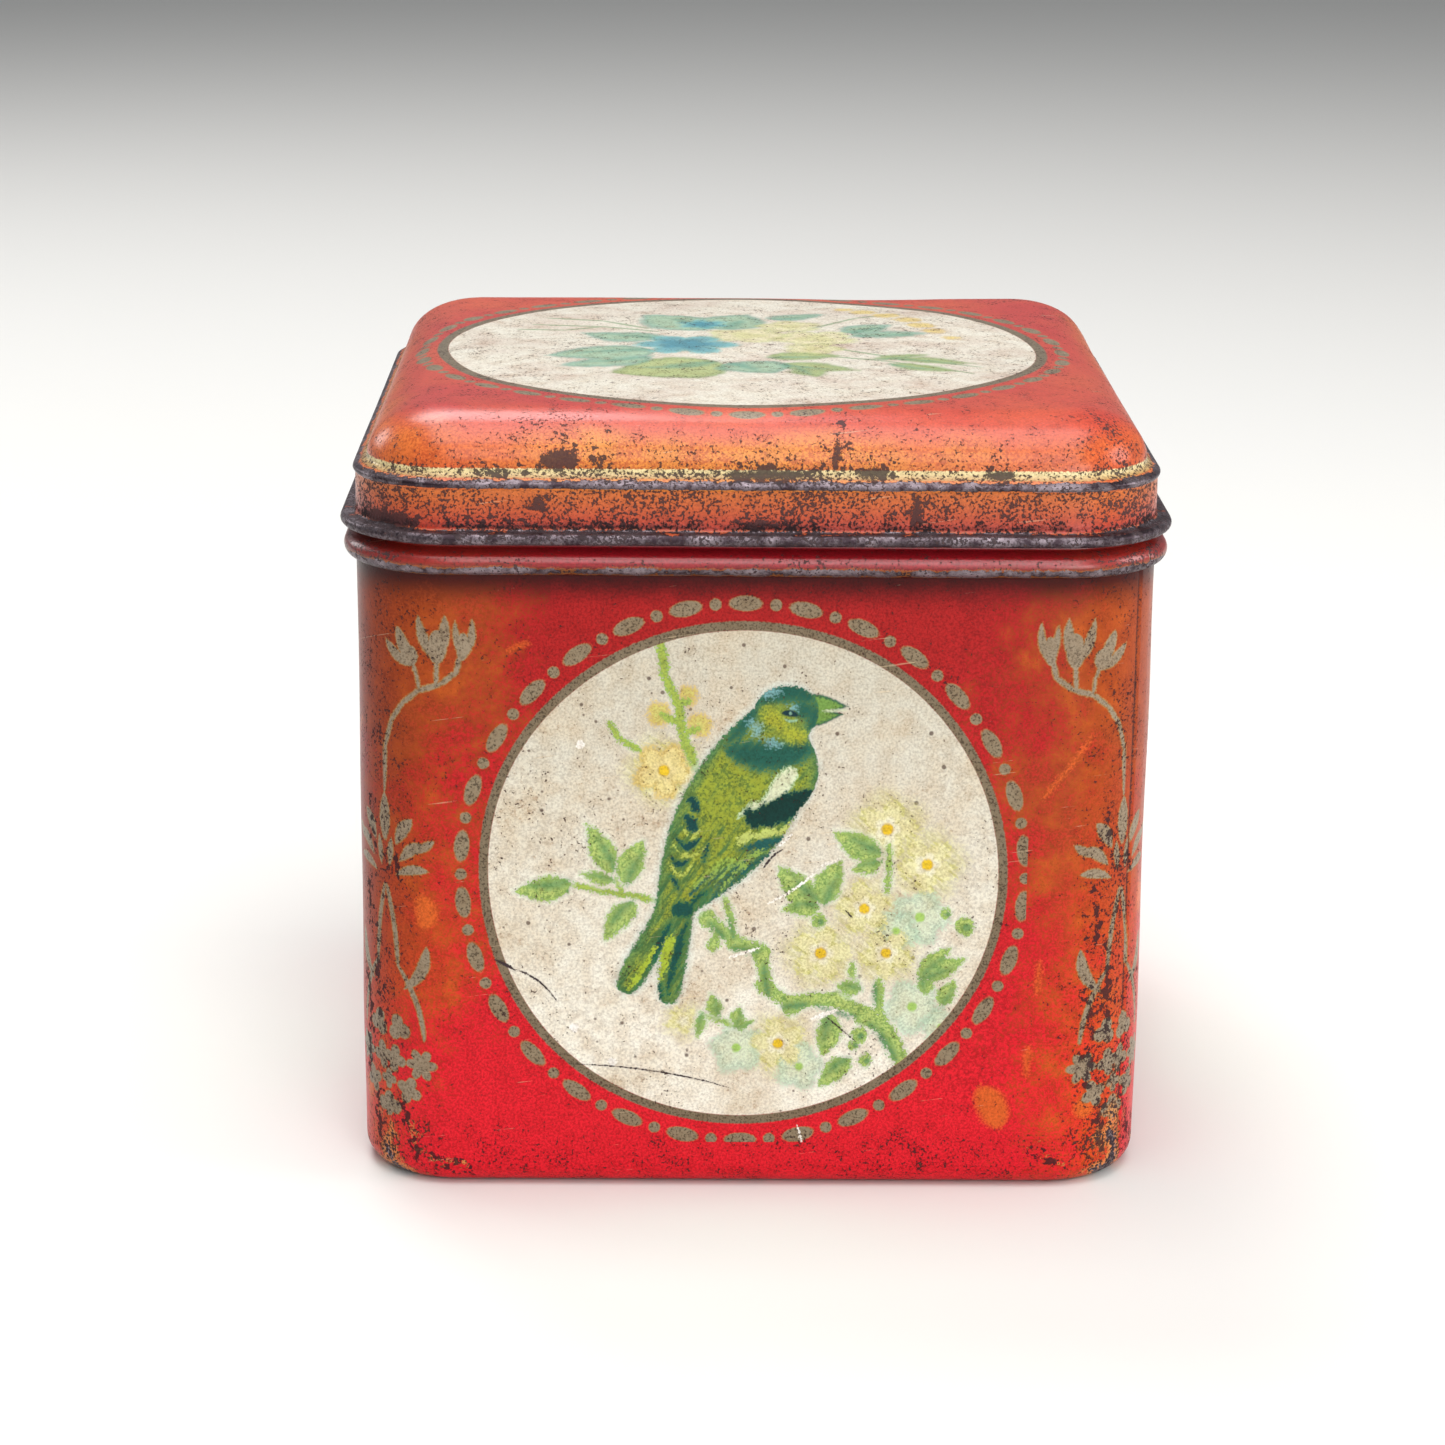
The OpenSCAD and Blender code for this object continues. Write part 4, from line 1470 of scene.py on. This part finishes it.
def add_camera():
    """The viewpoint: a little above, almost square on to the front."""
    pan, tilt, roll = (math.radians(angle) for angle in CAMERA_TURN)
    target = Vector(CAMERA_TARGET) * MM
    level = math.cos(tilt)
    back = Vector((math.sin(pan) * level, -math.cos(pan) * level, math.sin(tilt)))
    right = Vector((math.cos(pan), math.sin(pan), 0.0))
    up = back.cross(right)
    leaned_right = right * math.cos(roll) + up * math.sin(roll)
    leaned_up = up * math.cos(roll) - right * math.sin(roll)
    data = bpy.data.cameras.new("camera")
    data.sensor_width = 36.0
    data.lens = 92.5
    camera = bpy.data.objects.new("camera", data)
    axes = Matrix((leaned_right, leaned_up, back)).transposed().to_4x4()
    camera.matrix_world = Matrix.Translation(target + back * CAMERA_DISTANCE * MM) @ axes
    bpy.context.scene.collection.objects.link(camera)
    bpy.context.scene.camera = camera


# name, place, the height that it is aimed at, size and power, in metres and watts
SOFTBOXES = [
    ("overhead", (0.0, -0.1, 0.75), 0.04, 0.6, 4.4),
    ("front_sky", (0.1, -0.75, 0.62), 0.04, 0.5, 2.8),
    ("front_low", (0.3, -0.75, 0.1), 0.02, 0.4, 2.6),
    ("right", (0.8, -0.1, 0.35), 0.04, 0.4, 2.8),
    ("back", (-0.2, 0.55, 0.85), 0.02, 0.4, 4.0),
    ("left", (-0.7, 0.5, 0.35), 0.04, 0.3, 1.4),
]
FLOOR_HALF = 3.0


def softbox(name, place, aim_z, size, power):
    """A square area light aimed at the tin's middle."""
    data = bpy.data.lights.new(name, "AREA")
    data.size, data.energy = size, power
    lamp = bpy.data.objects.new(name, data)
    aim = (Vector((0.0, 0.0, aim_z)) - Vector(place)).to_track_quat("-Z", "Y")
    lamp.matrix_world = Matrix.Translation(Vector(place)) @ aim.to_matrix().to_4x4()
    bpy.context.scene.collection.objects.link(lamp)


def add_studio():
    """Soft light, a pale sky and a plain pale floor."""
    world = bpy.data.worlds.new("studio")
    bpy.context.scene.world = world
    world.use_nodes = True
    background = world.node_tree.nodes["Background"].inputs
    background["Color"].default_value = (0.92, 0.96, 1.0, 1.0)
    background["Strength"].default_value = 0.24
    for row in SOFTBOXES:
        softbox(*row)
    mesh = bpy.data.meshes.new("floor")
    h = FLOOR_HALF
    mesh.from_pydata([(-h, -h, 0), (h, -h, 0), (h, h, 0), (-h, h, 0)], [], [(0, 1, 2, 3)])
    floor = bpy.data.objects.new("floor", mesh)
    bpy.context.scene.collection.objects.link(floor)
    material, g, body = new_material("floor")
    close_material(g, ink(226, 224, 220), 0.7, 0.0, g.noise(body, 0.02), 0.1, 0.0)
    mesh.materials.append(material)


make_wall()
make_panel()
make_lid()
add_camera()
add_studio()
bpy.context.scene.view_settings.view_transform = "Standard"
